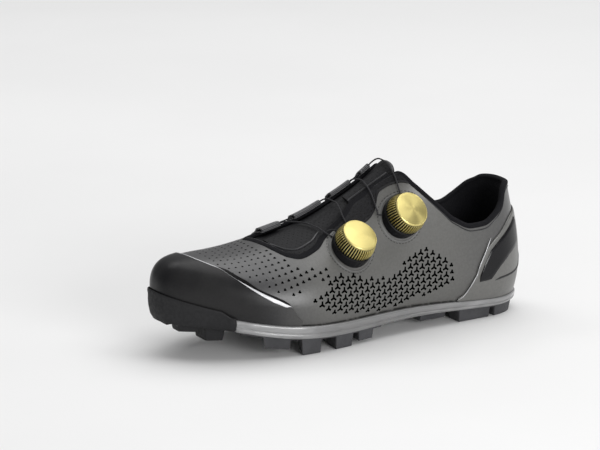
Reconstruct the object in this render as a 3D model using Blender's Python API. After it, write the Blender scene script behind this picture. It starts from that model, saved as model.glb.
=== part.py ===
"""Left off-road cycling shoe with two turning closures, as separate solids.

Metres, +Z up, toe towards -Y, heel towards +Y.  A left shoe: its outer (lateral)
side is +X, its inner (medial) side is -X.  The shoe stands on its tread lugs at z = 0.

Every curved piece is a patch of one last surface, last_point(share, turn):
share runs from the heel (0) to the toe (1), turn runs from the outer foot line (0)
over the ridge of the instep (0.5) to the inner foot line (1).  Pieces are laid
between two offsets from that surface, so neighbours keep the same clearance.
"""
import math

import bmesh
import bpy
import numpy as np
from mathutils import Matrix, Vector
from mathutils.bvhtree import BVHTree

# Driving sizes, metres
SHOE_LENGTH = 0.2835
BALL_WIDTH = 0.0964
INSTEP_HEIGHT = 0.079
STACK_HEIGHT = 0.0196
WALL = 0.0018
CLEARANCE = 0.0003
OVERLAY = 0.0009
TONGUE_THICKNESS = 0.0024
LINING_THICKNESS = 0.0028
INSOLE_THICKNESS = 0.0030
BAND_STANDOUT = 0.0024
BUMPER_LIP = 0.0046
TREAD_BASE = 0.0014
DIAL_WIDTH = 0.0290
DIAL_HEIGHT = 0.0082
DIAL_BASE_WIDTH = 0.0345
LACE_WIDTH = 0.0011
LOOP_SLOT = 0.0017
LOOP_THICKNESS = 0.0009
CLEAT_POCKET_DEPTH = 0.0022

# Sections of the last, heel to toe.
# share of length; half width, centre, shift of the ridge as shares of BALL_WIDTH;
# foot line height and band thickness as shares of STACK_HEIGHT;
# widest-point height and ridge height above the foot line as shares of INSTEP_HEIGHT;
# power of the section curve.
SECTION_COLUMNS = ("share", "half", "centre", "ridge_shift", "foot", "band", "belly", "ridge", "power")
SECTIONS = (
    (0.00, 0.290, 0.000, 0.000, 0.750, 0.290, 0.253, 1.899, 2.90),
    (0.06, 0.316, 0.000, 0.000, 0.730, 0.290, 0.253, 1.899, 2.90),
    (0.14, 0.335, 0.002, 0.000, 0.760, 0.300, 0.253, 1.873, 2.80),
    (0.25, 0.340, 0.016, -0.010, 0.880, 0.340, 0.253, 1.696, 2.50),
    (0.38, 0.342, 0.046, -0.031, 0.980, 0.390, 0.253, 1.278, 2.20),
    (0.50, 0.390, 0.058, -0.052, 1.000, 0.440, 0.241, 1.000, 2.05),
    (0.60, 0.458, 0.044, -0.062, 1.030, 0.460, 0.215, 0.810, 2.10),
    (0.68, 0.500, 0.017, -0.062, 1.100, 0.460, 0.190, 0.696, 2.20),
    (0.76, 0.492, -0.012, -0.052, 1.250, 0.460, 0.177, 0.589, 2.30),
    (0.85, 0.432, -0.050, -0.031, 1.500, 0.450, 0.165, 0.494, 2.40),
    (0.93, 0.365, -0.089, -0.010, 1.810, 0.600, 0.152, 0.449, 2.50),
    (1.00, 0.316, -0.124, 0.000, 2.150, 0.860, 0.139, 0.456, 2.50),
)
HEEL_CLOSE, HEEL_POWER = 0.11, 2.2
TOE_CLOSE, TOE_POWER = 0.20, 2.4
TOE_TOP_CLOSE, TOE_TOP_POWER = 0.16, 2.6
BELLY_TURN = 0.10
FOOT_TUCK = 0.036

# Forward lean of the heel's back: height above the foot line as a share of
# INSTEP_HEIGHT, lean as a share of SHOE_LENGTH.
HEEL_BACK = (
    (-0.30, 0.0240), (0.00, 0.0110), (0.18, 0.0022), (0.36, 0.0000),
    (0.63, 0.0080), (0.89, 0.0235), (1.08, 0.0335), (1.46, 0.0440),
)

# Upper edges: share, turn.  The outer collar and throat edge, then the inner one.
OUTER_EDGE = (
    (0.000, 0.146), (0.035, 0.150), (0.055, 0.145), (0.075, 0.124), (0.103, 0.110),
    (0.142, 0.101), (0.183, 0.104), (0.238, 0.129), (0.270, 0.160), (0.307, 0.210),
    (0.342, 0.280), (0.373, 0.373), (0.407, 0.397), (0.447, 0.410), (0.490, 0.414),
    (0.532, 0.378), (0.570, 0.362), (0.600, 0.345), (0.630, 0.312), (0.670, 0.300),
    (0.695, 0.328), (0.712, 0.390), (0.722, 0.470), (0.730, 0.570),
)
INNER_EDGE = (
    (0.000, 0.854), (0.020, 0.857), (0.035, 0.863), (0.055, 0.869), (0.075, 0.877),
    (0.103, 0.886), (0.142, 0.893), (0.183, 0.889), (0.238, 0.866), (0.270, 0.838),
    (0.307, 0.790), (0.342, 0.720), (0.373, 0.632), (0.407, 0.602), (0.447, 0.592), (0.490, 0.596),
    (0.532, 0.600), (0.600, 0.608), (0.660, 0.612), (0.700, 0.606), (0.718, 0.592),
    (0.730, 0.570),
)
THROAT_FRONT = 0.730

# Toe cap edges: share, turn.  Behind the front of the cap it runs back along both foot lines.
CAP_OUTER_EDGE = (
    (0.702, 0.012), (0.716, 0.026), (0.732, 0.048), (0.768, 0.082), (0.802, 0.118),
    (0.840, 0.180), (0.860, 0.230), (0.878, 0.302), (0.897, 0.362), (0.912, 0.440),
    (0.922, 0.570),
)
CAP_INNER_EDGE = (
    (0.702, 0.988), (0.728, 0.955), (0.768, 0.920), (0.815, 0.868), (0.850, 0.815),
    (0.880, 0.755), (0.900, 0.700), (0.912, 0.652), (0.922, 0.570),
)
CAP_FRONT = 0.922
TOE_ROWS = (0.740, 0.770, 0.800, 0.830, 0.855, 0.880, 0.900, 0.912, 0.922, 0.942, 0.962, 0.979, 0.992, 1.0)
# Top edge of the heel counter: share, height above the foot line as a share of INSTEP_HEIGHT.
COUNTER_EDGE = (
    (0.000, 0.790), (0.045, 0.755), (0.100, 0.610), (0.135, 0.500), (0.150, 0.420),
    (0.168, 0.290), (0.188, 0.155), (0.206, 0.070), (0.224, 0.030),
)
# Gloss panel on the counter: share, lower and upper height as shares of INSTEP_HEIGHT.
PANEL_EDGES = (
    (0.036, 0.460, 0.720), (0.070, 0.400, 0.640), (0.100, 0.310, 0.560),
    (0.128, 0.195, 0.470), (0.148, 0.185, 0.350), (0.163, 0.180, 0.235),
)
# Lace loops on the inner throat edge: name, first share, last share.
LOOPS = (
    ("front", 0.645, 0.694), ("middle", 0.535, 0.606),
    ("top", 0.452, 0.505), ("collar", 0.396, 0.420),
)
LOOP_FOLD, LOOP_ROOT, LOOP_TIP = 0.100, 0.190, 0.310
# Tread lugs: first share, last share, floor heights there as shares of STACK_HEIGHT.
SIDE_LUGS = (
    (0.490, 0.530, 0.120, 0.120), (0.554, 0.602, 0.000, 0.000), (0.650, 0.700, 0.000, 0.000),
    (0.735, 0.796, 0.270, 0.390),
)
HEEL_LUGS = ((0.032, 0.098, 0.000, 0.000), (0.120, 0.212, 0.000, 0.000), (0.240, 0.312, 0.160, 0.160))
TOE_LUGS = ((0.876, 0.912, 0.640, 0.640), (0.930, 0.966, 0.960, 0.960))
BUMPER_START = 0.862
PLATE_END = 0.8605

# Lean of the dial axes, added to the upper's normal
DIAL_LEAN = (0.0, 0.25, 0.37)

# Colours: base colour, roughness, metallic.
LOOKS = {
    "upper": ((0.105, 0.102, 0.094), 0.45, 0.0),
    "cap": ((0.045, 0.045, 0.048), 0.40, 0.0),
    "gloss": ((0.012, 0.012, 0.014), 0.12, 0.0),
    "rubber": ((0.030, 0.031, 0.033), 0.65, 0.0),
    "plate": ((0.150, 0.150, 0.148), 0.25, 0.0),
    "textile": ((0.014, 0.014, 0.015), 0.85, 0.0),
    "foam": ((0.020, 0.020, 0.022), 0.90, 0.0),
    "gold": ((0.720, 0.590, 0.330), 0.28, 1.0),
    "lace": ((0.030, 0.030, 0.034), 0.50, 0.0),
}


def spline(at, rows, column=1):
    """Natural cubic spline through one column of a table, its first column the positions."""
    table = np.asarray(rows, float)
    x, y = table[:, 0], table[:, column]
    n = len(x)
    h = np.diff(x)
    a, b = np.eye(n), np.zeros(n)
    for i in range(1, n - 1):
        a[i, i - 1:i + 2] = h[i - 1], 2.0 * (h[i - 1] + h[i]), h[i]
        b[i] = 6.0 * ((y[i + 1] - y[i]) / h[i] - (y[i] - y[i - 1]) / h[i - 1])
    m = np.linalg.solve(a, b)
    at = np.clip(np.asarray(at, float), x[0], x[-1])
    i = np.clip(np.searchsorted(x, at) - 1, 0, n - 2)
    u = (at - x[i]) / h[i]
    bend = ((1 - u) ** 3 - (1 - u)) * m[i] + (u ** 3 - u) * m[i + 1]
    return (1 - u) * y[i] + u * y[i + 1] + h[i] ** 2 / 6.0 * bend


def broken(at, rows, column=1):
    """Straight interpolation through one column of a table."""
    table = np.asarray(rows, float)
    return np.interp(at, table[:, 0], table[:, column])


def section(share, name):
    """One column of the section table, in metres, at the shares given."""
    scale = {
        "half": BALL_WIDTH, "centre": BALL_WIDTH, "ridge_shift": BALL_WIDTH,
        "foot": STACK_HEIGHT, "band": STACK_HEIGHT,
        "belly": INSTEP_HEIGHT, "ridge": INSTEP_HEIGHT, "power": 1.0,
    }
    return spline(share, SECTIONS, SECTION_COLUMNS.index(name)) * scale[name]


def closing(distance, reach, power):
    """Share of the full size left at a distance from an end, 0 at the end, 1 past the reach."""
    inside = 1.0 - np.clip(distance / reach, 0.0, 1.0)
    return (1.0 - inside ** power) ** (1.0 / power)


def last_point(share, turn):
    """Points of the last surface."""
    share, turn = np.broadcast_arrays(np.asarray(share, float), np.asarray(turn, float))
    share, turn = np.clip(share, 0.0, 1.0), np.clip(turn, 0.0, 1.0)
    end = closing(share, HEEL_CLOSE, HEEL_POWER) * closing(1.0 - share, TOE_CLOSE, TOE_POWER)
    top = closing(1.0 - share, TOE_TOP_CLOSE, TOE_TOP_POWER)
    side = np.where(turn < 0.5, 1.0, -1.0)
    climb = np.where(turn < 0.5, turn, 1.0 - turn) / 0.5
    below = climb < BELLY_TURN
    low = np.clip(climb / BELLY_TURN, 0.0, 1.0)
    angle = np.clip((climb - BELLY_TURN) / (1.0 - BELLY_TURN), 0.0, 1.0) * math.pi / 2.0
    power = section(share, "power")
    across = np.abs(np.cos(angle)) ** (2.0 / power)
    up = np.sin(angle) ** (2.0 / power)
    width = section(share, "half") - BALL_WIDTH * FOOT_TUCK * (1.0 - low) ** 2
    shift = section(share, "ridge_shift")
    x = section(share, "centre") + side * width * end * np.where(below, 1.0, across) + shift * end * up
    belly, ridge = section(share, "belly") * top, section(share, "ridge") * top
    height = np.where(below, belly * low, belly + (ridge - belly) * up)
    lean = spline(height / INSTEP_HEIGHT, HEEL_BACK) * SHOE_LENGTH
    lean = lean * np.clip(1.0 - share / 0.30, 0.0, 1.0) ** 2
    y = SHOE_LENGTH * (0.5 - share) - lean
    return np.stack([x, y, section(share, "foot") + height], axis=-1)


def last_normal(share, turn):
    """Outward unit normals, laid level along the foot line."""
    share, turn = np.broadcast_arrays(np.asarray(share, float), np.asarray(turn, float))
    step = 2e-4
    along = last_point(share + step, turn) - last_point(share - step, turn)
    around = last_point(share, turn + step) - last_point(share, turn - step)
    normal = np.cross(around, along)
    climb = np.where(turn < 0.5, turn, 1.0 - turn) / 0.5
    low = np.clip(climb / BELLY_TURN, 0.0, 1.0)
    normal[..., 2] *= low
    normal[..., 0] = np.where(share < 1e-6, 0.0, normal[..., 0])
    size = np.linalg.norm(normal, axis=-1)
    flat = (size < 1e-12) | (share > 0.99995)
    normal[flat] = (0.0, -1.0, 0.0)
    normal /= np.linalg.norm(normal, axis=-1)[..., None]
    return normal


def offset_point(share, turn, out):
    """Points at a distance outward from the last surface."""
    return last_point(share, turn) + last_normal(share, turn) * np.asarray(out, float)[..., None]


def turn_at_height(share, height, inner=False):
    """Turn at which the section reaches a height above its foot line."""
    belly, ridge = section(share, "belly"), section(share, "ridge")
    up = np.clip((height - belly) / (ridge - belly), 0.0, 0.98)
    angle = np.arcsin(up ** (section(share, "power") / 2.0))
    high = BELLY_TURN + (1.0 - BELLY_TURN) * angle / (math.pi / 2.0)
    climb = np.where(height < belly, BELLY_TURN * height / belly, high)
    return 1.0 - climb / 2.0 if inner else climb / 2.0


def turn_across(share, distance):
    """Turn at a distance along the surface from the ridge, the outer side counted positive."""
    turns = np.linspace(0.0, 1.0, 801)
    found = []
    for one, reach in zip(np.atleast_1d(share), np.atleast_1d(distance)):
        line = last_point(np.full(turns.shape, one), turns)
        run = np.concatenate([[0.0], np.cumsum(np.linalg.norm(np.diff(line, axis=0), axis=1))])
        found.append(np.interp(run[400] - reach, run, turns))
    return np.array(found)


def eased(start, end, count, ease_start=False, ease_end=False):
    """Shares between two values, closer together at the eased ends."""
    t = np.linspace(0.0, 1.0, count)
    if ease_start and ease_end:
        t = (1.0 - np.cos(math.pi * t)) / 2.0
    elif ease_start:
        t = 1.0 - np.cos(math.pi * t / 2.0)
    elif ease_end:
        t = np.sin(math.pi * t / 2.0)
    return start + (end - start) * t


def heel_rows(end):
    """Rows of the upper from the heel's back forward, shared by what lies on it or in it."""
    rows = np.concatenate([eased(0.0, 0.12, 9, ease_start=True)[:-1], np.linspace(0.12, 0.34, 9)])
    return rows[rows <= end + 1e-9]


def new_collection(name):
    """A collection linked to the scene."""
    collection = bpy.data.collections.new(name)
    bpy.context.scene.collection.children.link(collection)
    return collection


def new_material(name, look):
    """A Principled material in one colour."""
    colour, roughness, metallic = LOOKS[look]
    material = bpy.data.materials.new(name)
    material.use_nodes = True
    shader = material.node_tree.nodes["Principled BSDF"]
    shader.inputs["Base Color"].default_value = (*colour, 1.0)
    shader.inputs["Roughness"].default_value = roughness
    shader.inputs["Metallic"].default_value = metallic
    material.diffuse_color = (*colour, 1.0)
    return material


def add_object(name, mesh, look):
    """An object in the shoe's collection with its own material."""
    thing = bpy.data.objects.new(name, mesh)
    PARTS.objects.link(thing)
    mesh.materials.clear()
    mesh.materials.append(new_material(name, look))
    return thing


def add_faces(name, points, faces, look):
    """A closed solid from points and faces, doubles merged and normals turned outward."""
    mesh = bpy.data.meshes.new(name)
    mesh.from_pydata([tuple(p) for p in points], [], faces)
    work = bmesh.new()
    work.from_mesh(mesh)
    bmesh.ops.remove_doubles(work, verts=work.verts, dist=1e-6)
    bmesh.ops.dissolve_degenerate(work, dist=1e-7, edges=work.edges)
    bmesh.ops.recalc_face_normals(work, faces=work.faces)
    if work.calc_volume(signed=True) < 0.0:
        bmesh.ops.reverse_faces(work, faces=work.faces)
    work.to_mesh(mesh)
    work.free()
    return add_object(name, mesh, look)


def grid_faces(rows, columns, start=0, flip=False):
    """Faces of a rows by columns grid of points."""
    faces = []
    for i in range(rows - 1):
        for j in range(columns - 1):
            a = start + i * columns + j
            face = (a, a + 1, a + columns + 1, a + columns)
            faces.append(face[::-1] if flip else face)
    return faces


def rim_faces(rows, columns, other):
    """Faces joining the borders of two grids of the same shape."""
    last_row, last_column = (rows - 1) * columns, columns - 1
    borders = (
        [j for j in range(columns)],
        [last_row + j for j in range(columns)],
        [i * columns for i in range(rows)],
        [i * columns + last_column for i in range(rows)],
    )
    faces = []
    for line in borders:
        for a, b in zip(line[:-1], line[1:]):
            faces.append((a, b, other + b, other + a))
    return faces


def patch(name, share, turn, inner, outer, look):
    """A solid between two offsets over a grid of (share, turn) values."""
    rows, columns = share.shape
    inner = np.broadcast_to(inner, share.shape)
    outer = np.broadcast_to(outer, share.shape)
    points = np.concatenate([
        offset_point(share, turn, outer).reshape(-1, 3),
        offset_point(share, turn, inner).reshape(-1, 3),
    ])
    other = rows * columns
    faces = grid_faces(rows, columns) + grid_faces(rows, columns, other, True)
    faces += rim_faces(rows, columns, other)
    return add_faces(name, points, faces, look)


def ring_solid(name, rings, look, cap_start=True, cap_end=True):
    """A solid through closed rings with the same number of points."""
    rings = np.asarray(rings, float)
    count, size = rings.shape[:2]
    faces = []
    for i in range(count - 1):
        for j in range(size):
            a, b = i * size + j, i * size + (j + 1) % size
            faces.append((a, b, b + size, a + size))
    if cap_start:
        faces.append(tuple(range(size))[::-1])
    if cap_end:
        faces.append(tuple(range((count - 1) * size, count * size)))
    return add_faces(name, rings.reshape(-1, 3), faces, look)


def side_line(share, out, inner):
    """A line level with the foot line, at a distance outward from it."""
    turn = np.full(share.shape, 1.0 if inner else 0.0)
    return offset_point(share, turn, np.broadcast_to(out, share.shape))


def plate_under(share):
    """Height of the sole plate's underside."""
    return section(share, "foot") - CLEARANCE - section(share, "band")


def two_strips(name, shares, edges, joined, offsets, columns, look):
    """An outer and an inner strip between a foot line and an edge, joined at the heel and past a share."""
    inner_out, outer_out = offsets
    grow = np.linspace(0.0, 1.0, columns - 2)[1:]
    points, faces = [], []
    for table, foot_turn in zip(edges, (0.0, 1.0)):
        edge = broken(shares, table)
        belly = abs(foot_turn - BELLY_TURN / 2.0)
        near = np.where(np.abs(edge - foot_turn) < BELLY_TURN, foot_turn + (edge - foot_turn) * 0.5, belly)
        turn = np.empty((len(shares), columns))
        turn[:, 0] = foot_turn
        turn[:, 1] = (foot_turn + near) / 2.0
        turn[:, 2] = near
        turn[:, 3:] = near[:, None] + (edge - near)[:, None] * grow
        share = np.repeat(shares[:, None], columns, axis=1)
        start = sum(len(p) for p in points)
        other = share.size
        for out in (outer_out, inner_out):
            points.append(offset_point(share, turn, np.full(share.shape, out)).reshape(-1, 3))
        local = grid_faces(len(shares), columns) + grid_faces(len(shares), columns, other, True)
        for i in range(len(shares) - 1):
            a, b = i * columns, (i + 1) * columns
            local.append((a, b, other + b, other + a))
            if shares[i + 1] <= joined + 1e-6:
                a, b = a + columns - 1, b + columns - 1
                local.append((a, b, other + b, other + a))
        if shares[0] > 0.0:
            local += [(j, j + 1, other + j + 1, other + j) for j in range(columns - 1)]
        faces += [tuple(start + k for k in face) for face in local]
    return add_faces(name, np.concatenate(points), faces, look)


def build_upper():
    """Wall of the upper, open at the collar, the throat and underneath."""
    shares = np.concatenate([
        heel_rows(0.34)[:-1],
        np.linspace(0.34, 0.56, 8)[:-1],
        np.linspace(0.56, 0.69, 6)[:-1],
        np.linspace(0.69, THROAT_FRONT, 5),
        TOE_ROWS,
    ])
    return two_strips("upper", shares, (OUTER_EDGE, INNER_EDGE), THROAT_FRONT, (-WALL, 0.0), 9, "upper")


def plate_rings(shares, profile, deck):
    """Closed sections of the sole: the deck across, then the side profile down and under."""
    under = section(shares, "foot") - CLEARANCE
    band = section(shares, "band")
    rings = []
    for inner in (False, True):
        lines = []
        for out, drop in profile:
            line = side_line(shares, out, inner)
            line[:, 2] = under - band * drop
            lines.append(line)
        rings.append(lines)
    outer_side, inner_side = rings
    ring = []
    for a in deck:
        ring.append(outer_side[0] * (1.0 - a) + inner_side[0] * a)
    ring += inner_side[1:]
    for a in deck[1:-1][::-1]:
        ring.append(outer_side[-1] * (1.0 - a) + inner_side[-1] * a)
    ring += outer_side[1:][::-1]
    return np.stack(ring, axis=1)


def build_plate():
    """Stiff sole plate with its rounded, stepped side band, and the cleat pocket in its underside."""
    shares = np.concatenate([
        eased(0.0, 0.12, 8, ease_start=True)[:-1],
        np.linspace(0.12, PLATE_END, 26),
    ])
    profile = (
        (BAND_STANDOUT * 0.50, 0.00), (BAND_STANDOUT * 0.92, 0.10), (BAND_STANDOUT, 0.35),
        (BAND_STANDOUT * 0.94, 0.62), (BAND_STANDOUT * 0.55, 0.72), (BAND_STANDOUT * 0.40, 1.00),
    )
    rings = plate_rings(shares, profile, (0.0, 0.5, 1.0))
    rings[-1, :, 1] = SHOE_LENGTH * (0.5 - PLATE_END)
    plate = ring_solid("sole_plate", rings, "plate", cap_start=False)
    middle = 0.655
    centre = float(section(middle, "centre"))
    at_y = SHOE_LENGTH * (0.5 - middle)
    seat_z = float(plate_under(0.62)) + CLEAT_POCKET_DEPTH
    cutters = [("cleat_pocket", (centre, at_y, seat_z - 0.010), (0.036, 0.066, 0.020))]
    for side in (-1.0, 1.0):
        where = (centre + side * 0.007, at_y, seat_z)
        cutters.append(("cleat_slot", where, (0.0056, 0.034, 0.030)))
    for name, where, size in cutters:
        mesh = bpy.data.meshes.new(name)
        work = bmesh.new()
        bmesh.ops.create_cube(work, size=1.0)
        bmesh.ops.scale(work, vec=size, verts=work.verts)
        bmesh.ops.translate(work, vec=where, verts=work.verts)
        work.to_mesh(mesh)
        work.free()
        cutter = bpy.data.objects.new(name, mesh)
        CUTTERS.objects.link(cutter)
        cutter.hide_render = True
        cutter.display_type = "WIRE"
        cut = plate.modifiers.new(name, "BOOLEAN")
        cut.operation = "DIFFERENCE"
        cut.solver = "EXACT"
        cut.object = cutter
    return plate


def build_bumper():
    """Rubber toe bumper wrapping the toe, with two pairs of toe lugs."""
    stops = [BUMPER_START, 0.869]
    for first, last, *_ in TOE_LUGS:
        stops += [first - 0.004, first, last, last + 0.004]
    stops += [0.978, 0.987, 0.9935, 0.998, 1.0]
    shares = np.array(stops)
    under = section(shares, "foot") - CLEARANCE
    band = section(shares, "band")
    level = np.array(under - band - 0.0012)
    for first, last, start, end in TOE_LUGS:
        inside = (shares >= first - 1e-6) & (shares <= last + 1e-6)
        level[inside] = np.interp(shares, (first, last), (start, end))[inside] * STACK_HEIGHT
    lifted = under - band
    level[-1] = lifted[-1]
    lip = np.interp(shares, (BUMPER_START, 0.885, 1.0), (0.15, 1.0, 1.0)) * BUMPER_LIP
    closed = closing(1.0 - shares, TOE_CLOSE, TOE_POWER)
    tuck = BALL_WIDTH * FOOT_TUCK * closed * (1.0 - (1.0 - lip / section(shares, "belly")) ** 2)
    inside = 3.0 * CLEARANCE + OVERLAY
    inside += np.interp(shares, (BUMPER_START, 0.869, 0.890), (0.0008, 0.0004, 0.0))
    foot = section(shares, "foot")
    marks = (
        (inside, under), (inside + tuck, foot + lip), (inside + 0.0009 + tuck, foot + lip - 0.0003),
        (inside + 0.0015, foot + lip * 0.1), (inside + 0.0014, under - band * 0.40),
        (inside + 0.0004, under - band * 0.75), (0.0004, under - band),
    )
    sides = []
    for inner in (False, True):
        lines = []
        for out, height in marks:
            line = side_line(shares, out, inner)
            line[:, 2] = height
            lines.append(line)
        sides.append(lines)
    outer_side, inner_side = sides
    low_outer, low_inner = outer_side[-1], inner_side[-1]
    across = ((0.93, False), (0.90, True), (0.64, True), (0.61, False),
              (0.39, False), (0.36, True), (0.10, True), (0.07, False))
    ring = [outer_side[0], (outer_side[0] + inner_side[0]) / 2.0, inner_side[0]] + inner_side[1:]
    for a, low in across:
        line = low_outer * (1.0 - a) + low_inner * a
        line[:, 2] = level if low else lifted
        ring.append(line)
    ring += outer_side[1:][::-1]
    rings = np.stack(ring, axis=1)
    rings[0, :, 1] = SHOE_LENGTH * (0.5 - PLATE_END) - CLEARANCE
    return ring_solid("toe_bumper", rings, "rubber", cap_start=True, cap_end=False)


def lug_rings(shares, lugs, tree, out, reach, draft, inner):
    """Sections of a tread row: a thin base under the plate and lugs hanging from it."""
    marks = (
        (out, "top"), (-reach, "top"), (-reach, "base"), (-reach + draft * 0.6, "base"),
        (-reach + draft * 1.6, "lug"), (out - draft * 0.7, "lug"), (out - draft * 0.1, "base"), (out, "base"),
    )
    ring = []
    for place, kind in marks:
        line = side_line(shares, place, inner)
        top = []
        for x, y, _ in line:
            hit = tree.ray_cast(Vector((x, y, -0.05)), Vector((0.0, 0.0, 1.0)))[0]
            top.append((hit or tree.find_nearest(Vector((x, y, 0.0)))[0]).z)
        top = np.array(top) - CLEARANCE
        base = top - TREAD_BASE
        levels = base - 0.0010
        for first, last, start, end in lugs:
            inside = (shares >= first - 1e-6) & (shares <= last + 1e-6)
            levels = np.where(inside, np.interp(shares, (first, last), (start, end)) * STACK_HEIGHT, levels)
        line[:, 2] = {"top": top, "base": base, "lug": levels}[kind]
        ring.append(line)
    return np.stack(ring, axis=1)


def lug_stops(lugs, start, end, ramp):
    """Shares at the feet and edges of each lug and the row's two ends, with stops between."""
    stops = [start]
    for first, last, *_ in sorted(lugs):
        stops += [first - ramp, first, last, last + ramp]
    stops.append(end)
    filled = [start]
    for a, b in zip(stops[:-1], stops[1:]):
        pieces = max(1, math.ceil((b - a) / 0.030))
        filled += list(np.linspace(a, b, pieces + 1)[1:])
    return np.array(filled)


def build_tread(tree):
    """Forefoot lug rows on both sides and the horseshoe of heel lugs."""
    shares = lug_stops(SIDE_LUGS, 0.462, 0.850, 0.005)
    for name, inner in (("tread_lateral", False), ("tread_medial", True)):
        reach = np.interp(shares, (0.462, 0.55, 0.75, 0.850), (0.013, 0.021, 0.021, 0.014))
        rings = lug_rings(shares, SIDE_LUGS, tree, 0.0006, reach, 0.0022, inner)
        ring_solid(name, rings, "rubber")
    half = lug_stops(HEEL_LUGS, 0.0, 0.324, 0.006)
    reach = np.interp(half, (0.0, 0.10, 0.220, 0.240, 0.324), (0.0150, 0.0170, 0.0180, 0.0225, 0.0225))
    out = np.interp(half, (0.0, 0.218, 0.236, 0.324), (0.0002, 0.0002, -0.0085, -0.0085))
    outer_half = lug_rings(half, HEEL_LUGS, tree, out, reach, 0.0022, False)
    inner_half = lug_rings(half, HEEL_LUGS, tree, out, reach, 0.0022, True)
    ring_solid("tread_heel", np.concatenate([outer_half[::-1], inner_half[1:]]), "rubber")


def build_insole():
    """Flat footbed lying on the plate, clear of the upper's wall."""
    shares = eased(0.0, 1.0, 24, ease_start=True, ease_end=True)
    inset = -(WALL + 0.0009)
    rings = []
    low = section(shares, "foot")
    outer_side, inner_side = side_line(shares, inset, False), side_line(shares, inset, True)
    for height, marks in ((low + INSOLE_THICKNESS, (0.0, 0.5, 1.0)), (low, (1.0, 0.5, 0.0))):
        for a in marks:
            line = outer_side * (1.0 - a) + inner_side * a
            line[:, 2] = height
            rings.append(line)
    return ring_solid("insole", np.stack(rings, axis=1), "foam", cap_start=False, cap_end=False)


def build_overlays():
    """Tongue, collar lining, toe cap, heel counter, its gloss panels and the throat wings."""
    under = -(WALL + 1.5 * CLEARANCE)
    # Tongue, under both throat edges
    shares = np.linspace(0.366, 0.762, 18)
    outer_turn = np.interp(shares, (0.366, 0.40, 0.50, 0.66, 0.74, 0.762), (0.385, 0.345, 0.33, 0.245, 0.30, 0.36))
    inner_turn = np.interp(shares, (0.366, 0.40, 0.50, 0.66, 0.74, 0.762), (0.615, 0.655, 0.66, 0.68, 0.66, 0.62))
    k = np.linspace(0.0, 1.0, 8)[None, :]
    turn = outer_turn[:, None] * (1.0 - k) + inner_turn[:, None] * k
    share = np.repeat(shares[:, None], 8, axis=1)
    tongue_top = -(WALL + 2.4 * CLEARANCE)
    patch("tongue", share, turn, tongue_top - TONGUE_THICKNESS, tongue_top, "textile")
    # Lining round the heel, inside the collar
    half = heel_rows(0.32)
    rows_s, rows_q = [], []
    k = np.array([0.0, 0.3, 0.6, 0.85, 1.0])
    for inner in (False, True):
        low = turn_at_height(half, INSTEP_HEIGHT * 0.34, inner)
        high = broken(half, INNER_EDGE if inner else OUTER_EDGE)
        turn = low[:, None] * (1.0 - k) + high[:, None] * k
        share = np.repeat(half[:, None], len(k), axis=1)
        rows_s.append(share if inner else share[::-1])
        rows_q.append(turn if inner else turn[::-1])
    share = np.concatenate([rows_s[0], rows_s[1][1:]])
    turn = np.concatenate([rows_q[0], rows_q[1][1:]])
    pad = np.array([0.35, 0.9, 1.0, 0.95, 0.50]) * LINING_THICKNESS
    patch("collar_lining", share, turn, under - pad[None, :] * np.ones(share.shape), under, "textile")
    # Toe cap: a step over the upper from its edge to the toe
    on_upper = 1.6 * CLEARANCE
    shares = np.concatenate([[0.702, 0.714, 0.726], TOE_ROWS])
    two_strips("toe_cap", shares, (CAP_OUTER_EDGE, CAP_INNER_EDGE), CAP_FRONT,
               (on_upper, on_upper + OVERLAY), 9, "cap")
    # Heel counter round the back
    half = np.append(heel_rows(0.21), 0.224)
    height = broken(half, COUNTER_EDGE) * INSTEP_HEIGHT
    k = np.array([0.0, 0.13, 0.28, 0.46, 0.64, 0.82, 1.0])
    rows_s, rows_q = [], []
    for inner in (False, True):
        turn = turn_at_height(half[:, None], height[:, None] * k[None, :], inner)
        share = np.repeat(half[:, None], len(k), axis=1)
        rows_s.append(share if inner else share[::-1])
        rows_q.append(turn if inner else turn[::-1])
    share = np.concatenate([rows_s[0], rows_s[1][1:]])
    turn = np.concatenate([rows_q[0], rows_q[1][1:]])
    patch("heel_counter", share, turn, on_upper, on_upper + OVERLAY, "cap")
    # Gloss panels lying on the counter
    shares = np.linspace(PANEL_EDGES[0][0], PANEL_EDGES[-1][0], 8)
    low, high = broken(shares, PANEL_EDGES, 1), broken(shares, PANEL_EDGES, 2)
    k = np.linspace(0.0, 1.0, 4)[None, :]
    height = (low[:, None] * (1.0 - k) + high[:, None] * k) * INSTEP_HEIGHT
    on_counter = on_upper + OVERLAY + CLEARANCE
    share = np.repeat(shares[:, None], 4, axis=1)
    for name, inner in (("heel_panel_lateral", False), ("heel_panel_medial", True)):
        patch(name, share, turn_at_height(share, height, inner), on_counter, on_counter + 0.0006, "gloss")
    # Wings filling the outer throat edge, level with the upper
    for name, start, end, reach in (("wing_front", 0.600, 0.716, 0.085), ("wing_top", 0.392, 0.500, 0.045)):
        shares = np.linspace(start, end, 10)
        near = broken(shares, OUTER_EDGE) + 0.006
        far = turn_across(shares, np.full(shares.shape, reach * 0.25 * BALL_WIDTH))
        far = np.maximum(far, near + 0.03)
        k = np.linspace(0.0, 1.0, 5)[None, :]
        turn = near[:, None] * (1.0 - k) + far[:, None] * k
        share = np.repeat(shares[:, None], 5, axis=1)
        patch(name, share, turn, tongue_top + CLEARANCE, 0.0, "textile")


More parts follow.
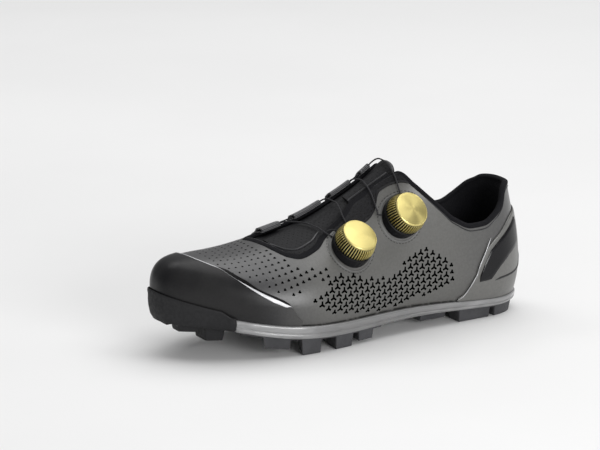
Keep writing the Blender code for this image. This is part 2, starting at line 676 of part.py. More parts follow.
def build_loops():
    """Folded straps on the inner throat edge, each a flat tunnel for the lace."""
    low, high = CLEARANCE, CLEARANCE + 2.0 * LOOP_THICKNESS + LOOP_SLOT
    leg = LOOP_THICKNESS
    fold, root, tip = (BALL_WIDTH * share for share in (LOOP_FOLD, LOOP_ROOT, LOOP_TIP))
    middle, slope = (fold + root) / 2.0, root + 0.0035
    tail = (slope + tip) / 2.0
    outer_marks = (
        (fold + 0.0016, low), (fold, low + 0.0012), (fold, high - 0.0012), (fold + 0.0016, high),
        (middle, high), (root, high), (slope, low + leg * 2.0), (tail, low + leg * 1.4), (tip, low + leg),
        (tip, low), (tail, low), (slope, low), (root, low), (middle, low),
    )
    inner_marks = (
        (fold + 0.0022, low + leg), (fold + 0.0010, low + leg + 0.0006),
        (fold + 0.0010, high - leg - 0.0006), (fold + 0.0022, high - leg), (middle, high - leg),
        (root - 0.0006, high - leg), (root + 0.0014, low + leg + 0.0005),
        (root - 0.0006, low + leg), (middle, low + leg),
    )
    for name, first, last in LOOPS:
        shares = np.linspace(first, last, 4)
        rings = []
        for marks in (outer_marks, inner_marks):
            ring = []
            for across, out in marks:
                turn = turn_across(shares, np.full(shares.shape, -across))
                ring.append(offset_point(shares, turn, np.full(shares.shape, out)))
            rings.append(np.stack(ring, axis=1))
        outer_ring, inner_ring = rings
        n, m, rows = len(outer_marks), len(inner_marks), len(shares)
        points = np.concatenate([outer_ring.reshape(-1, 3), inner_ring.reshape(-1, 3)])
        faces = []
        for i in range(rows - 1):
            for j in range(n):
                a, b = i * n + j, i * n + (j + 1) % n
                faces.append((a, b, b + n, a + n))
            for j in range(m):
                a, b = rows * n + i * m + j, rows * n + i * m + (j + 1) % m
                faces.append((a, a + m, b + m, b))
        # End faces between the outer and the inner ring, matched mark by mark
        match = (0, 1, 2, 3, 4, 5, 6, 6, 6, 6, 6, 6, 7, 8)
        for i in (0, rows - 1):
            for j in range(n):
                a, b = i * n + j, i * n + (j + 1) % n
                c, d = rows * n + i * m + match[j], rows * n + i * m + match[(j + 1) % n]
                faces.append((a, b, d, c) if c != d else (a, b, c))
        add_faces("lace_loop_" + name, points, faces, "textile")


def dial_frame(share, turn):
    """Centre on the upper and the axes of a dial, its axis leaning up and back from the surface."""
    centre = Vector(last_point(share, turn))
    axis = Vector(last_normal(share, turn)) + Vector(DIAL_LEAN)
    axis.normalize()
    side = axis.cross(Vector((0.0, 0.35, 1.0))).normalized()
    return centre, axis, side, side.cross(axis).normalized()


def disc_rings(frame, marks, steps, rib_depth):
    """Rings about a dial's axis: radius, height, and whether every second point is cut back."""
    centre, axis, side, up = frame
    rings = []
    for radius, height, ribbed in marks:
        ring = []
        for i in range(steps):
            angle = 2.0 * math.pi * i / steps
            r = radius - (rib_depth if ribbed and i % 2 else 0.0)
            ring.append(tuple(centre + side * (r * math.cos(angle)) + up * (r * math.sin(angle)) + axis * height))
        rings.append(ring)
    return rings


def build_dial(name, share, turn, upper_tree):
    """Base shaped to the upper underneath, and a ribbed, domed knob clear above it."""
    frame = dial_frame(share, turn)
    centre, axis, side, up = frame
    steps = 24
    base_radius = DIAL_BASE_WIDTH / 2.0
    flats, heights = [], []
    for size in (0.0, 0.30, 0.55, 0.78, 1.0):
        for i in range(steps):
            angle = 2.0 * math.pi * i / steps
            flat = (side * math.cos(angle) + up * math.sin(angle)) * (size * base_radius)
            hit = upper_tree.ray_cast(centre + flat + axis * 0.04, -axis)[0]
            flats.append(flat)
            heights.append((hit - centre).dot(axis))
    heights = np.array(heights).reshape(-1, steps)
    floor = [[tuple(centre + flats[k * steps + i] + axis * (heights[k, i] + CLEARANCE * 2.2))
              for i in range(steps)] for k in range(len(heights))]
    deck = heights[:4].max() + 0.0018
    skirt = []
    for size, rise in ((1.0, 0.0016), (0.94, 0.0024)):
        skirt.append([tuple(centre + flats[-steps + i] * size + axis * (heights[-1, i] + rise))
                      for i in range(steps)])
    top = disc_rings(frame, ((base_radius * 0.80, deck, False), (0.0, deck, False)), steps, 0.0)
    ring_solid(name + "_base", floor + skirt + top, "textile", cap_start=False, cap_end=False)
    radius, seat, tall = DIAL_WIDTH / 2.0, deck + CLEARANCE, DIAL_HEIGHT
    marks = (
        (0.0, seat, False), (radius * 0.95, seat, True), (radius, seat + tall * 0.20, True),
        (radius * 0.97, seat + tall * 0.82, True), (radius * 0.90, seat + tall * 0.93, False),
        (0.0, seat + tall, False),
    )
    knob = disc_rings(frame, marks, 48, radius * 0.04)
    ring_solid(name + "_knob", knob, "gold", cap_start=False, cap_end=False)
    return centre, axis


def build_lace(name, marks, dial, tree):
    """One lace circuit: from one side of its dial, through its loops and back."""
    places = []
    slot = CLEARANCE + LOOP_THICKNESS + LOOP_SLOT / 2.0
    for share, across in marks:
        turn = turn_across(np.array([share]), np.array([across * BALL_WIDTH]))
        places.append(Vector(offset_point(np.array([share]), turn, np.array([slot]))[0]))
    centre, axis = dial
    for index in (0, -1):
        near = places[index]
        level = centre + axis * (near - centre).dot(axis)
        way = (level - near).normalized()
        hit = tree.ray_cast(near, way)[0]
        end = hit or level
        while tree.find_nearest(end)[3] < CLEARANCE + 0.6 * LACE_WIDTH:
            end = end - way * 0.0001
        places.insert(0, end) if index == 0 else places.append(end)
    curve = bpy.data.curves.new(name, "CURVE")
    curve.dimensions = "3D"
    curve.bevel_depth = LACE_WIDTH / 2.0
    curve.bevel_resolution = 2
    curve.use_fill_caps = True
    line = curve.splines.new("POLY")
    line.points.add(len(places) - 1)
    for point, place in zip(line.points, places):
        point.co = (*place, 1.0)
    thing = bpy.data.objects.new(name + "_path", curve)
    PARTS.objects.link(thing)
    graph = bpy.context.evaluated_depsgraph_get()
    mesh = bpy.data.meshes.new_from_object(thing.evaluated_get(graph))
    bpy.data.objects.remove(thing, do_unlink=True)
    work = bmesh.new()
    work.from_mesh(mesh)
    bmesh.ops.remove_doubles(work, verts=work.verts, dist=1e-6)
    bmesh.ops.recalc_face_normals(work, faces=work.faces)
    work.to_mesh(mesh)
    work.free()
    mesh.name = name
    return add_object(name, mesh, "lace")


def object_tree(thing):
    """Ray-casting tree of an object's mesh."""
    work = bmesh.new()
    work.from_mesh(thing.data)
    tree = BVHTree.FromBMesh(work)
    work.free()
    return tree


def centre_over_origin():
    """Move every piece and cutter so that the shoe's bounding box is centred over the origin."""
    corners = np.array([vertex.co for thing in PARTS.objects for vertex in thing.data.vertices])
    middle = (corners.min(axis=0) + corners.max(axis=0)) / 2.0
    move = Matrix.Translation((-middle[0], -middle[1], 0.0))
    for thing in list(PARTS.objects) + list(CUTTERS.objects):
        thing.data.transform(move)


for old in list(bpy.data.objects):
    bpy.data.objects.remove(old, do_unlink=True)
PARTS = new_collection("cycling_shoe")
CUTTERS = new_collection("cutters")

shell = build_upper()
plate_tree = object_tree(build_plate())
build_bumper()
build_tread(plate_tree)
build_insole()
build_overlays()
build_loops()

shell_tree = object_tree(shell)
front_dial = build_dial("dial_front", 0.540, 0.238, shell_tree)
top_dial = build_dial("dial_top", 0.384, 0.214, shell_tree)

front_marks = (
    (0.588, 0.276), (0.600, 0.180), (0.612, 0.080), (0.628, -0.040), (0.640, -0.124), (0.660, -0.130),
    (0.677, -0.131), (0.685, -0.139), (0.687, -0.146), (0.685, -0.153), (0.677, -0.160), (0.660, -0.160),
    (0.640, -0.158), (0.612, -0.140), (0.5875, -0.136), (0.558, -0.136), (0.532, -0.130), (0.524, -0.040),
    (0.524, 0.060), (0.528, 0.150), (0.532, 0.222),
)
top_marks = (
    (0.450, 0.345), (0.448, 0.250), (0.446, 0.140), (0.445, 0.020), (0.448, -0.122), (0.470, -0.130),
    (0.490, -0.131), (0.498, -0.139), (0.500, -0.146), (0.498, -0.153), (0.490, -0.160), (0.470, -0.160),
    (0.448, -0.158), (0.430, -0.142), (0.420, -0.136), (0.408, -0.136), (0.392, -0.132), (0.384, -0.100),
    (0.381, -0.020), (0.380, 0.060), (0.380, 0.150), (0.380, 0.222),
)
build_lace("lace_front", front_marks, front_dial, object_tree(bpy.data.objects["dial_front_base"]))
build_lace("lace_top", top_marks, top_dial, object_tree(bpy.data.objects["dial_top_base"]))
centre_over_origin()
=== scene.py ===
"""Finish of a left off-road cycling shoe with two turning closures.

Metres, +Z up, toe towards -Y, outer side +X.  Every piece is a surface worked out
from one last surface, last_point(share, turn): share runs from the heel (0) to the
toe (1), turn from the outer foot line (0) over the ridge (0.5) to the inner one (1).
"""
import math

import bmesh
import bpy
import numpy as np
from bpy.props import FloatProperty, FloatVectorProperty, IntProperty, PointerProperty
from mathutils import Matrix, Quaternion, Vector
from mathutils.bvhtree import BVHTree


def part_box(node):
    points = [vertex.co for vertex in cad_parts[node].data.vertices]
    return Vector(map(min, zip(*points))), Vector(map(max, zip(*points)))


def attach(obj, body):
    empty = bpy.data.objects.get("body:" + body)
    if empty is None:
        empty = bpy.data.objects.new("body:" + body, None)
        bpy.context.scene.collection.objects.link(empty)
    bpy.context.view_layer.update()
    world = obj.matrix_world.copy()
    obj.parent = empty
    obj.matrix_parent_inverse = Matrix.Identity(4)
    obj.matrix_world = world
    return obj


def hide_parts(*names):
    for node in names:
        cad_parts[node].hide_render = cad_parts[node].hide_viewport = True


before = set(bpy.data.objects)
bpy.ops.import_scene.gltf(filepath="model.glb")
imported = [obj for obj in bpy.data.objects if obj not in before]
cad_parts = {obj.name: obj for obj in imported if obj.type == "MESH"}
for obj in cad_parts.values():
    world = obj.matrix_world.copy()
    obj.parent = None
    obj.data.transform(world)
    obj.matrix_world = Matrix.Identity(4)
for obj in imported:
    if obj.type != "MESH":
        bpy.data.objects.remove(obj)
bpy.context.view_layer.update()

bl_info = {
    "name": "Off-road cycling shoe",
    "version": (1, 0, 0),
    "blender": (4, 5, 0),
    "location": "3D View > Sidebar > Shoe",
    "description": "Builds the skin, trims, dials, laces, sole and stage of a cycling shoe",
    "category": "Object",
}

MM = 0.001
BODY = "root"

# Sections of the last, heel to toe: share of length; half width, centre and ridge shift as
# shares of the ball width; foot line and band as shares of the stack; widest-point and
# ridge height as shares of the instep height; power of the section curve.
SECTION_COLUMNS = ("share", "half", "centre", "ridge_shift", "foot", "band", "belly", "ridge", "power")
SECTIONS = (
    (0.00, 0.290, 0.000, 0.000, 0.750, 0.290, 0.253, 1.899, 2.90),
    (0.06, 0.316, 0.000, 0.000, 0.730, 0.290, 0.253, 1.899, 2.90),
    (0.14, 0.335, 0.002, 0.000, 0.760, 0.300, 0.253, 1.873, 2.80),
    (0.25, 0.340, 0.016, -0.010, 0.880, 0.340, 0.253, 1.696, 2.50),
    (0.38, 0.342, 0.046, -0.031, 0.980, 0.390, 0.253, 1.278, 2.20),
    (0.50, 0.390, 0.058, -0.052, 1.000, 0.440, 0.241, 1.000, 2.05),
    (0.60, 0.458, 0.044, -0.062, 1.030, 0.460, 0.215, 0.810, 2.10),
    (0.68, 0.500, 0.017, -0.062, 1.100, 0.460, 0.190, 0.696, 2.20),
    (0.76, 0.492, -0.012, -0.052, 1.250, 0.460, 0.177, 0.589, 2.30),
    (0.85, 0.432, -0.050, -0.031, 1.500, 0.450, 0.165, 0.494, 2.40),
    (0.93, 0.365, -0.089, -0.010, 1.810, 0.600, 0.152, 0.449, 2.50),
    (1.00, 0.316, -0.124, 0.000, 2.150, 0.860, 0.139, 0.456, 2.50),
)
# Shares over which heel and toe close, with the powers of their arcs; the first part of a side's
# turn, up to its widest point; and how far the foot line is tucked in under it
HEEL_CLOSE, HEEL_POWER = 0.11, 2.2
TOE_CLOSE, TOE_POWER = 0.20, 2.4
TOE_TOP_CLOSE, TOE_TOP_POWER = 0.16, 2.6
BELLY_TURN = 0.10
FOOT_TUCK = 0.036
# Lean of the heel's back: height as a share of the instep height, lean as a share of the length
HEEL_BACK = (
    (-0.30, 0.0240), (0.00, 0.0110), (0.18, 0.0022), (0.36, 0.0000),
    (0.63, 0.0080), (0.89, 0.0235), (1.08, 0.0335), (1.46, 0.0440),
)
# Collar and throat edges, outer then inner: share, turn
OUTER_EDGE = (
    (0.000, 0.146), (0.035, 0.150), (0.055, 0.145), (0.075, 0.124), (0.103, 0.110),
    (0.142, 0.101), (0.183, 0.104), (0.238, 0.129), (0.270, 0.160), (0.307, 0.210),
    (0.342, 0.280), (0.373, 0.373), (0.407, 0.397), (0.447, 0.410), (0.490, 0.414),
    (0.532, 0.378), (0.570, 0.362), (0.600, 0.345), (0.630, 0.312), (0.670, 0.300),
    (0.695, 0.328), (0.712, 0.390), (0.722, 0.470), (0.730, 0.570),
)
INNER_EDGE = (
    (0.000, 0.854), (0.020, 0.857), (0.035, 0.863), (0.055, 0.869), (0.075, 0.877),
    (0.103, 0.886), (0.142, 0.893), (0.183, 0.889), (0.238, 0.866), (0.270, 0.838),
    (0.307, 0.790), (0.342, 0.720), (0.373, 0.632), (0.407, 0.602), (0.447, 0.592), (0.490, 0.596),
    (0.532, 0.600), (0.600, 0.608), (0.660, 0.612), (0.700, 0.606), (0.718, 0.592),
    (0.730, 0.570),
)
THROAT_FRONT = 0.730
# Lower edge of the black film between the throat and the dials: share, turn
FILM_EDGE = (
    (0.350, 0.292), (0.366, 0.319), (0.387, 0.343), (0.408, 0.358), (0.426, 0.362), (0.436, 0.350),
    (0.443, 0.330), (0.456, 0.303), (0.473, 0.289), (0.500, 0.285), (0.530, 0.292), (0.555, 0.316),
    (0.571, 0.343), (0.587, 0.352),
)
# Toe cap edges: share, turn
CAP_OUTER_EDGE = (
    (0.702, 0.012), (0.716, 0.026), (0.732, 0.048), (0.768, 0.082), (0.802, 0.118),
    (0.840, 0.180), (0.860, 0.230), (0.878, 0.302), (0.897, 0.362), (0.912, 0.440),
    (0.922, 0.570),
)
CAP_INNER_EDGE = (
    (0.702, 0.988), (0.728, 0.955), (0.768, 0.920), (0.815, 0.868), (0.850, 0.815),
    (0.880, 0.755), (0.900, 0.700), (0.912, 0.652), (0.922, 0.570),
)
CAP_START, CAP_FRONT = 0.702, 0.922
# Heel counter's top edge: share, height as a share of the instep height
COUNTER_EDGE = (
    (0.000, 0.790), (0.045, 0.755), (0.100, 0.610), (0.135, 0.500), (0.150, 0.420),
    (0.168, 0.290), (0.188, 0.155), (0.206, 0.070), (0.224, 0.030),
)
# Gloss panel: share, lower and upper height as shares of the instep height
PANEL_EDGES = (
    (0.036, 0.460, 0.720), (0.070, 0.400, 0.640), (0.100, 0.310, 0.560),
    (0.128, 0.195, 0.470), (0.148, 0.185, 0.350), (0.163, 0.180, 0.235),
)
# Lace loops on the inner throat edge: name, first and last share
LOOPS = (
    ("front", 0.645, 0.694), ("middle", 0.535, 0.606),
    ("top", 0.452, 0.505), ("collar", 0.396, 0.420),
)
# A loop's fold, root and end: distance past the ridge as a share of the ball width
LOOP_FOLD, LOOP_ROOT, LOOP_TIP = 0.100, 0.190, 0.310
LOOP_ROWS = 14
# Raised seam and black groove at the heel: share, turn on the outer side
SEAM_LINE = (
    (0.128, 0.080), (0.141, 0.069), (0.154, 0.060), (0.170, 0.050), (0.190, 0.029), (0.210, 0.009),
    (0.226, 0.002),
)
GROOVE_LINE = (
    (0.116, 0.035), (0.098, 0.0385), (0.079, 0.040), (0.043, 0.043), (0.020, 0.049), (0.014, 0.056),
)
# Tongue's edges: shares, and the turns of its outer and inner edge there
TONGUE_SHARES = (0.366, 0.40, 0.50, 0.66, 0.74, 0.762)
TONGUE_TURNS = ((0.385, 0.345, 0.33, 0.245, 0.30, 0.36), (0.615, 0.655, 0.66, 0.68, 0.66, 0.62))
# Perforated throat panels: name, first and last share, reach over the ridge as a share of the ball width
WINGS = (("wing_front", 0.600, 0.716, 0.02125), ("wing_top", 0.392, 0.500, 0.01125))
# Lift of the cap and counter off the last, in clearances; share where the cap's trim starts
OVERLAY_LIFT, TRIM_START = 1.6, 0.730
# Profile of the sole's band: distance outward as a share of the band, drop as a share of its height
BAND_PROFILE = (
    (0.20, 0.00), (0.50, 0.005), (0.78, 0.035), (0.93, 0.09), (0.99, 0.17), (1.00, 0.28), (0.99, 0.40),
    (0.95, 0.50), (0.86, 0.565), (0.76, 0.59), (0.70, 0.615), (0.69, 0.645), (0.75, 0.675), (0.83, 0.70),
    (0.85, 0.75), (0.82, 0.81), (0.70, 0.88), (0.55, 0.94), (0.42, 0.985), (0.38, 1.00),
)
# Share at the middle of the cleat pocket
POCKET_SHARE = 0.655
# Tread lugs: first and last share, floor heights there as shares of the stack
SIDE_LUGS = (
    (0.490, 0.530, 0.120, 0.120), (0.554, 0.602, 0.000, 0.000), (0.650, 0.700, 0.000, 0.000),
    (0.735, 0.796, 0.270, 0.390),
)
HEEL_LUGS = ((0.032, 0.098, 0.000, 0.000), (0.120, 0.212, 0.000, 0.000), (0.240, 0.312, 0.160, 0.160))
TOE_LUGS = ((0.876, 0.912, 0.640, 0.640), (0.930, 0.966, 0.960, 0.960))
# Shares where the bumper starts, the plate ends and the treads start and end
BUMPER_START, PLATE_END = 0.862, 0.8605
TREAD_START, TREAD_END, HEEL_TREAD_END = 0.462, 0.850, 0.324
# Share over which a lug rises
LUG_RAMP = 0.0045

# Fields of blade cuts and dots on each side: share, turn from that side's foot line
OUTER_CUTS = (
    (0.677, 0.065), (0.641, 0.088), (0.626, 0.125), (0.620, 0.165), (0.594, 0.158), (0.554, 0.134),
    (0.507, 0.098), (0.467, 0.075), (0.449, 0.077), (0.429, 0.083), (0.390, 0.095), (0.370, 0.106),
    (0.357, 0.115), (0.321, 0.103), (0.286, 0.083), (0.250, 0.069), (0.241, 0.040), (0.259, 0.034),
    (0.319, 0.021), (0.386, 0.010), (0.466, 0.005), (0.560, 0.014), (0.610, 0.020), (0.653, 0.039),
)
OUTER_DOTS = (
    (0.889, 0.500), (0.886, 0.408), (0.864, 0.275), (0.828, 0.216), (0.797, 0.158), (0.750, 0.100),
    (0.727, 0.092), (0.711, 0.110), (0.679, 0.134), (0.655, 0.146), (0.634, 0.150), (0.612, 0.140),
    (0.602, 0.176), (0.640, 0.204), (0.676, 0.233), (0.706, 0.281), (0.741, 0.424), (0.748, 0.500),
)
INNER_CUTS = (
    (0.800, 0.125), (0.745, 0.180), (0.690, 0.170), (0.620, 0.125), (0.560, 0.090), (0.560, 0.050),
    (0.640, 0.025), (0.720, 0.040), (0.770, 0.070),
)
INNER_DOTS = (
    (0.889, 0.500), (0.880, 0.385), (0.862, 0.270), (0.830, 0.190), (0.800, 0.125), (0.745, 0.180),
    (0.690, 0.170), (0.705, 0.300), (0.742, 0.415), (0.748, 0.500),
)
INNER_ROWS = (
    (0.690, 0.170), (0.600, 0.155), (0.480, 0.190), (0.350, 0.250), (0.335, 0.200), (0.450, 0.140),
    (0.560, 0.095), (0.620, 0.125),
)
# Steps of the cuts' lattice towards the toe and up the side, as shares of the pitch
CUT_WAYS = ((0.090, 1.067), (1.080, 0.672))
# Where the lattice starts and ends: length from the heel and up the side, in metres
CUT_ORIGIN, CUT_REACH = (0.16, 0.02), (0.27, 0.11)
# Least space between two cuts, as a share of the pitch; turn of the blades in degrees
CUT_SPACE, BLADE_TURN = 0.72, -6.0
# Arm of a dot; half width of an arm and depth of a notch, for a dot and for a blade, in metres
DOT_ARM, ARM_HALF, ARM_NOTCH = 0.50 * MM, (0.30 * MM, 0.68 * MM), (0.50 * MM, 0.92 * MM)
# Dials: name, share, turn
DIALS = (("front", 0.540, 0.238), ("top", 0.384, 0.214))
DIAL_LEAN = (0.0, 0.25, 0.37)
# How far each knob sits off its CAD place, in metres
DIAL_SEATS = ((0.0008, 0.0009, -0.0011), (-0.0004, -0.0007, 0.0004))
# Side of a knob: radius as a share of the knob's, height as a share of its own, depth of the ribs
KNOB_PROFILE = (
    (0.30, 0.00, 0.0), (0.86, 0.00, 0.0), (0.89, -0.44, 0.0), (0.96, -0.50, 0.4), (1.010, -0.47, 1.0),
    (1.030, -0.40, 1.0), (1.030, -0.22, 1.0), (1.015, -0.02, 1.0), (0.990, 0.20, 1.0), (0.960, 0.40, 1.0),
    (0.925, 0.57, 0.8), (0.900, 0.64, 0.2), (0.894, 0.67, 0.0), (0.900, 0.70, 0.0), (0.900, 0.75, 0.0),
    (0.892, 0.80, 0.0), (0.872, 0.835, 0.0), (0.856, 0.840, 0.0), (0.848, 0.830, 0.0), (0.840, 0.840, 0.0),
)
# Stitches: radius of their rings as shares, and where the rings lie along them in metres
STITCH_TAPER = np.array([0.35, 0.9, 1.0, 0.9, 0.35])
SLOT_STITCH = (-0.0008, -0.000576, 0.0, 0.000576, 0.0008)
DIAL_STITCH = (-0.0008, -0.0005, 0.0, 0.0005, 0.0008)
# Upper skin and cap film: specular, coat, grain's scale, bump, least and greatest roughness
SKIN_LOOKS = ((0.5, 0.2, 1500.0, 0.00009, 0.35, 0.44), (0.15, 0.04, 1900.0, 0.00005, 0.31, 0.39))
# Spaces between pinholes, and half the width of the piping, in metres
PINHOLE_PITCH, PIPING = 3.4 * MM, 0.42 * MM
# Steps of the table of lengths over the last, along and round it
RUN_ROWS, RUN_COLUMNS = 400, 800
# Lace routes: share, distance from the ridge as a share of the ball width
FRONT_LACE = (
    (0.588, 0.276), (0.600, 0.180), (0.612, 0.080), (0.628, -0.040), (0.640, -0.124), (0.660, -0.130),
    (0.677, -0.131), (0.685, -0.139), (0.687, -0.146), (0.685, -0.153), (0.677, -0.160), (0.660, -0.160),
    (0.640, -0.158), (0.612, -0.140), (0.5875, -0.136), (0.558, -0.136), (0.532, -0.130), (0.524, -0.040),
    (0.524, 0.060), (0.528, 0.150), (0.532, 0.222),
)
TOP_LACE = (
    (0.450, 0.345), (0.448, 0.250), (0.446, 0.140), (0.445, 0.020), (0.448, -0.122), (0.470, -0.130),
    (0.490, -0.131), (0.498, -0.139), (0.500, -0.146), (0.498, -0.153), (0.490, -0.160), (0.470, -0.160),
    (0.448, -0.158), (0.430, -0.142), (0.420, -0.136), (0.408, -0.136), (0.392, -0.132), (0.384, -0.100),
    (0.381, -0.020), (0.380, 0.060), (0.380, 0.150), (0.380, 0.222),
)
# Camera: azimuth, elevation and roll in degrees, distance in metres, and where the point
# AIM_HEIGHT above the origin lies in the photograph's 600 by 450 frame
CAMERA_AZIMUTH, CAMERA_ELEVATION, CAMERA_ROLL = 61.0, 15.2, -0.8
CAMERA_DISTANCE, FOCAL_PIXELS = 2.3, 3213.1
FRAME_WIDTH, FRAME_HEIGHT = 600, 450
AIM_PIXEL, AIM_HEIGHT = (341.5, 275.0), 0.040
FLOOR_REACH = 9.0
# Lights: name, place, width, height, power in watts; all are aimed at LIGHT_TARGET
LIGHTS = (
    ("overhead", (-0.6, 0.95, 3.2), 3.6, 3.6, 84.0), ("key", (0.8, 1.0, 1.75), 0.9, 0.9, 7.0),
    ("side", (2.2, 0.1, 0.6), 1.3, 0.8, 34.0), ("toe_top", (-1.1, -0.35, 1.4), 0.9, 0.35, 3.0),
)
LIGHT_TARGET = (0.0, 0.0, 0.05)


def metres(name, description, default):
    """A length property."""
    return FloatProperty(name=name, description=description, default=default, unit="LENGTH")


def paint(name, description, default):
    """A colour property."""
    return FloatVectorProperty(name=name, description=description, default=default, subtype="COLOR")


class ShoeSizes(bpy.types.PropertyGroup):
    """Sizes of the shoe's pieces."""

    length: metres("Length", "Length of the last", 0.2835)
    ball_width: metres("Ball width", "Width across the ball", 0.0964)
    instep: metres("Instep height", "Height scale of the upper", 0.079)
    stack: metres("Stack height", "Foot line above the floor", 0.0196)
    wall: metres("Wall", "Thickness of the upper", 0.0018)
    gap: metres("Clearance", "Space between pieces", 0.0003)
    overlay: metres("Overlay", "Thickness of cap and counter", 0.0009)
    band: metres("Band", "How far the sole's band stands out", 0.0024)
    tongue: metres("Tongue", "Thickness of the tongue", 0.0024)
    lining: metres("Lining", "Thickness of the collar lining", 0.0028)
    insole: metres("Insole", "Thickness of the insole", 0.0030)
    tread: metres("Tread base", "Thickness of the tread's base", 0.0014)
    lip: metres("Bumper lip", "Height of the bumper over the foot line", 0.0046)
    dial: metres("Dial width", "Diameter of a dial's knob", 0.0290)
    dial_base: metres("Dial base width", "Diameter of a dial's base", 0.0345)
    lace: metres("Lace width", "Diameter of the lace", 0.0011)
    loop: metres("Loop thickness", "Thickness of the lace loops", 0.0009)
    slot: metres("Loop slot", "Height of the lace's tunnel", 0.0017)
    pocket: metres("Cleat pocket", "Depth of the cleat pocket", 0.0022)
    cut_pitch: metres("Cut pitch", "Distance between cuts", 0.0049)
    cut_arm: metres("Cut arm", "Length of a blade cut's arm", 0.0027)
    cut_depth: metres("Cut depth", "Depth of the cuts", 0.0007)
    ribs: IntProperty(name="Knob ribs", description="Ribs round a knob", default=46, min=12)


class ShoeColours(bpy.types.PropertyGroup):
    """Base colours of the finishes."""

    skin: paint("Skin", "Upper at the side", (0.094, 0.093, 0.088))
    dark_skin: paint("Dark skin", "Upper at the toe and heel", (0.040, 0.040, 0.0425))
    cap: paint("Cap", "Front of the toe cap", (0.008, 0.008, 0.0095))
    rubber: paint("Rubber", "Lugs", (0.043, 0.043, 0.046))
    gold: paint("Gold", "Dials", (0.62, 0.53, 0.21))
    textile: paint("Textile", "Tongue and lining", (0.006, 0.006, 0.007))
    band_toe: paint("Band at the toe", "Resin at toe and heel", (0.300, 0.300, 0.302))
    band_arch: paint("Band at the arch", "Resin at the arch", (0.165, 0.165, 0.165))


def sizes():
    """The shoe's sizes."""
    return bpy.context.scene.shoe_sizes


def colours():
    """The shoe's colours."""
    return bpy.context.scene.shoe_colours


def curve_through(places, values):
    """Natural cubic spline through the values: a function of position."""
    x, y = np.asarray(places, float), np.asarray(values, float)
    n, h = len(x), np.diff(np.asarray(places, float))
    a, b, i = np.eye(n), np.zeros(n), np.arange(1, n - 1)
    a[i, i - 1], a[i, i], a[i, i + 1] = h[:-1], 2.0 * (h[:-1] + h[1:]), h[1:]
    b[1:-1] = 6.0 * (np.diff(y)[1:] / h[1:] - np.diff(y)[:-1] / h[:-1])
    m = np.linalg.solve(a, b)

    def value(at):
        at = np.clip(np.asarray(at, float), x[0], x[-1])
        k = np.clip(np.searchsorted(x, at) - 1, 0, n - 2)
        u = (at - x[k]) / h[k]
        bend = ((1 - u) ** 3 - (1 - u)) * m[k] + (u ** 3 - u) * m[k + 1]
        return (1 - u) * y[k] + u * y[k + 1] + h[k] ** 2 / 6.0 * bend

    return value


def steady_through(places, values):
    """Cubic through the values that never overshoots them (slopes from neighbouring chords)."""
    x, y = np.asarray(places, float), np.asarray(values, float)
    h, d = np.diff(x), np.diff(y) / np.diff(x)
    slope = np.zeros(len(x))
    same = d[:-1] * d[1:] > 0.0
    safe = np.where(same, d[:-1] + d[1:], 1.0)
    slope[1:-1] = np.where(same, 2.0 * d[:-1] * d[1:] / safe, 0.0)
    slope[0], slope[-1] = d[0], d[-1]

    def value(at):
        at = np.clip(np.asarray(at, float), x[0], x[-1])
        k = np.clip(np.searchsorted(x, at) - 1, 0, len(x) - 2)
        u = (at - x[k]) / h[k]
        rise = y[k] * (1 + 2 * u) * (1 - u) ** 2 + y[k + 1] * u ** 2 * (3 - 2 * u)
        return rise + h[k] * (slope[k] * u * (1 - u) ** 2 + slope[k + 1] * u ** 2 * (u - 1))

    return value


def edge_curve(table):
    """An edge table as a function of share."""
    rows = np.asarray(table, float)
    return steady_through(rows[:, 0], rows[:, 1])


def smoothstep(value):
    """0 below 0, 1 above 1 and a smooth rise between."""
    value = np.clip(value, 0.0, 1.0)
    return value * value * (3.0 - 2.0 * value)


SECTION_CURVES = {
    name: curve_through([row[0] for row in SECTIONS], [row[i] for row in SECTIONS])
    for i, name in enumerate(SECTION_COLUMNS) if i
}
HEEL_CURVE = curve_through([row[0] for row in HEEL_BACK], [row[1] for row in HEEL_BACK])
OUTER_CURVE, INNER_CURVE = edge_curve(OUTER_EDGE), edge_curve(INNER_EDGE)
PLACE = {}


def section(share, name):
    """One column of the section table, in metres."""
    size = sizes()
    scale = {"half": size.ball_width, "centre": size.ball_width, "ridge_shift": size.ball_width,
             "foot": size.stack, "band": size.stack, "belly": size.instep, "ridge": size.instep}
    return SECTION_CURVES[name](share) * scale.get(name, 1.0)


def closing(distance, reach, power):
    """Share of the full size left at a distance from an end, a superellipse arc."""
    inside = 1.0 - np.clip(distance / reach, 0.0, 1.0)
    return (1.0 - inside ** power) ** (1.0 / power)


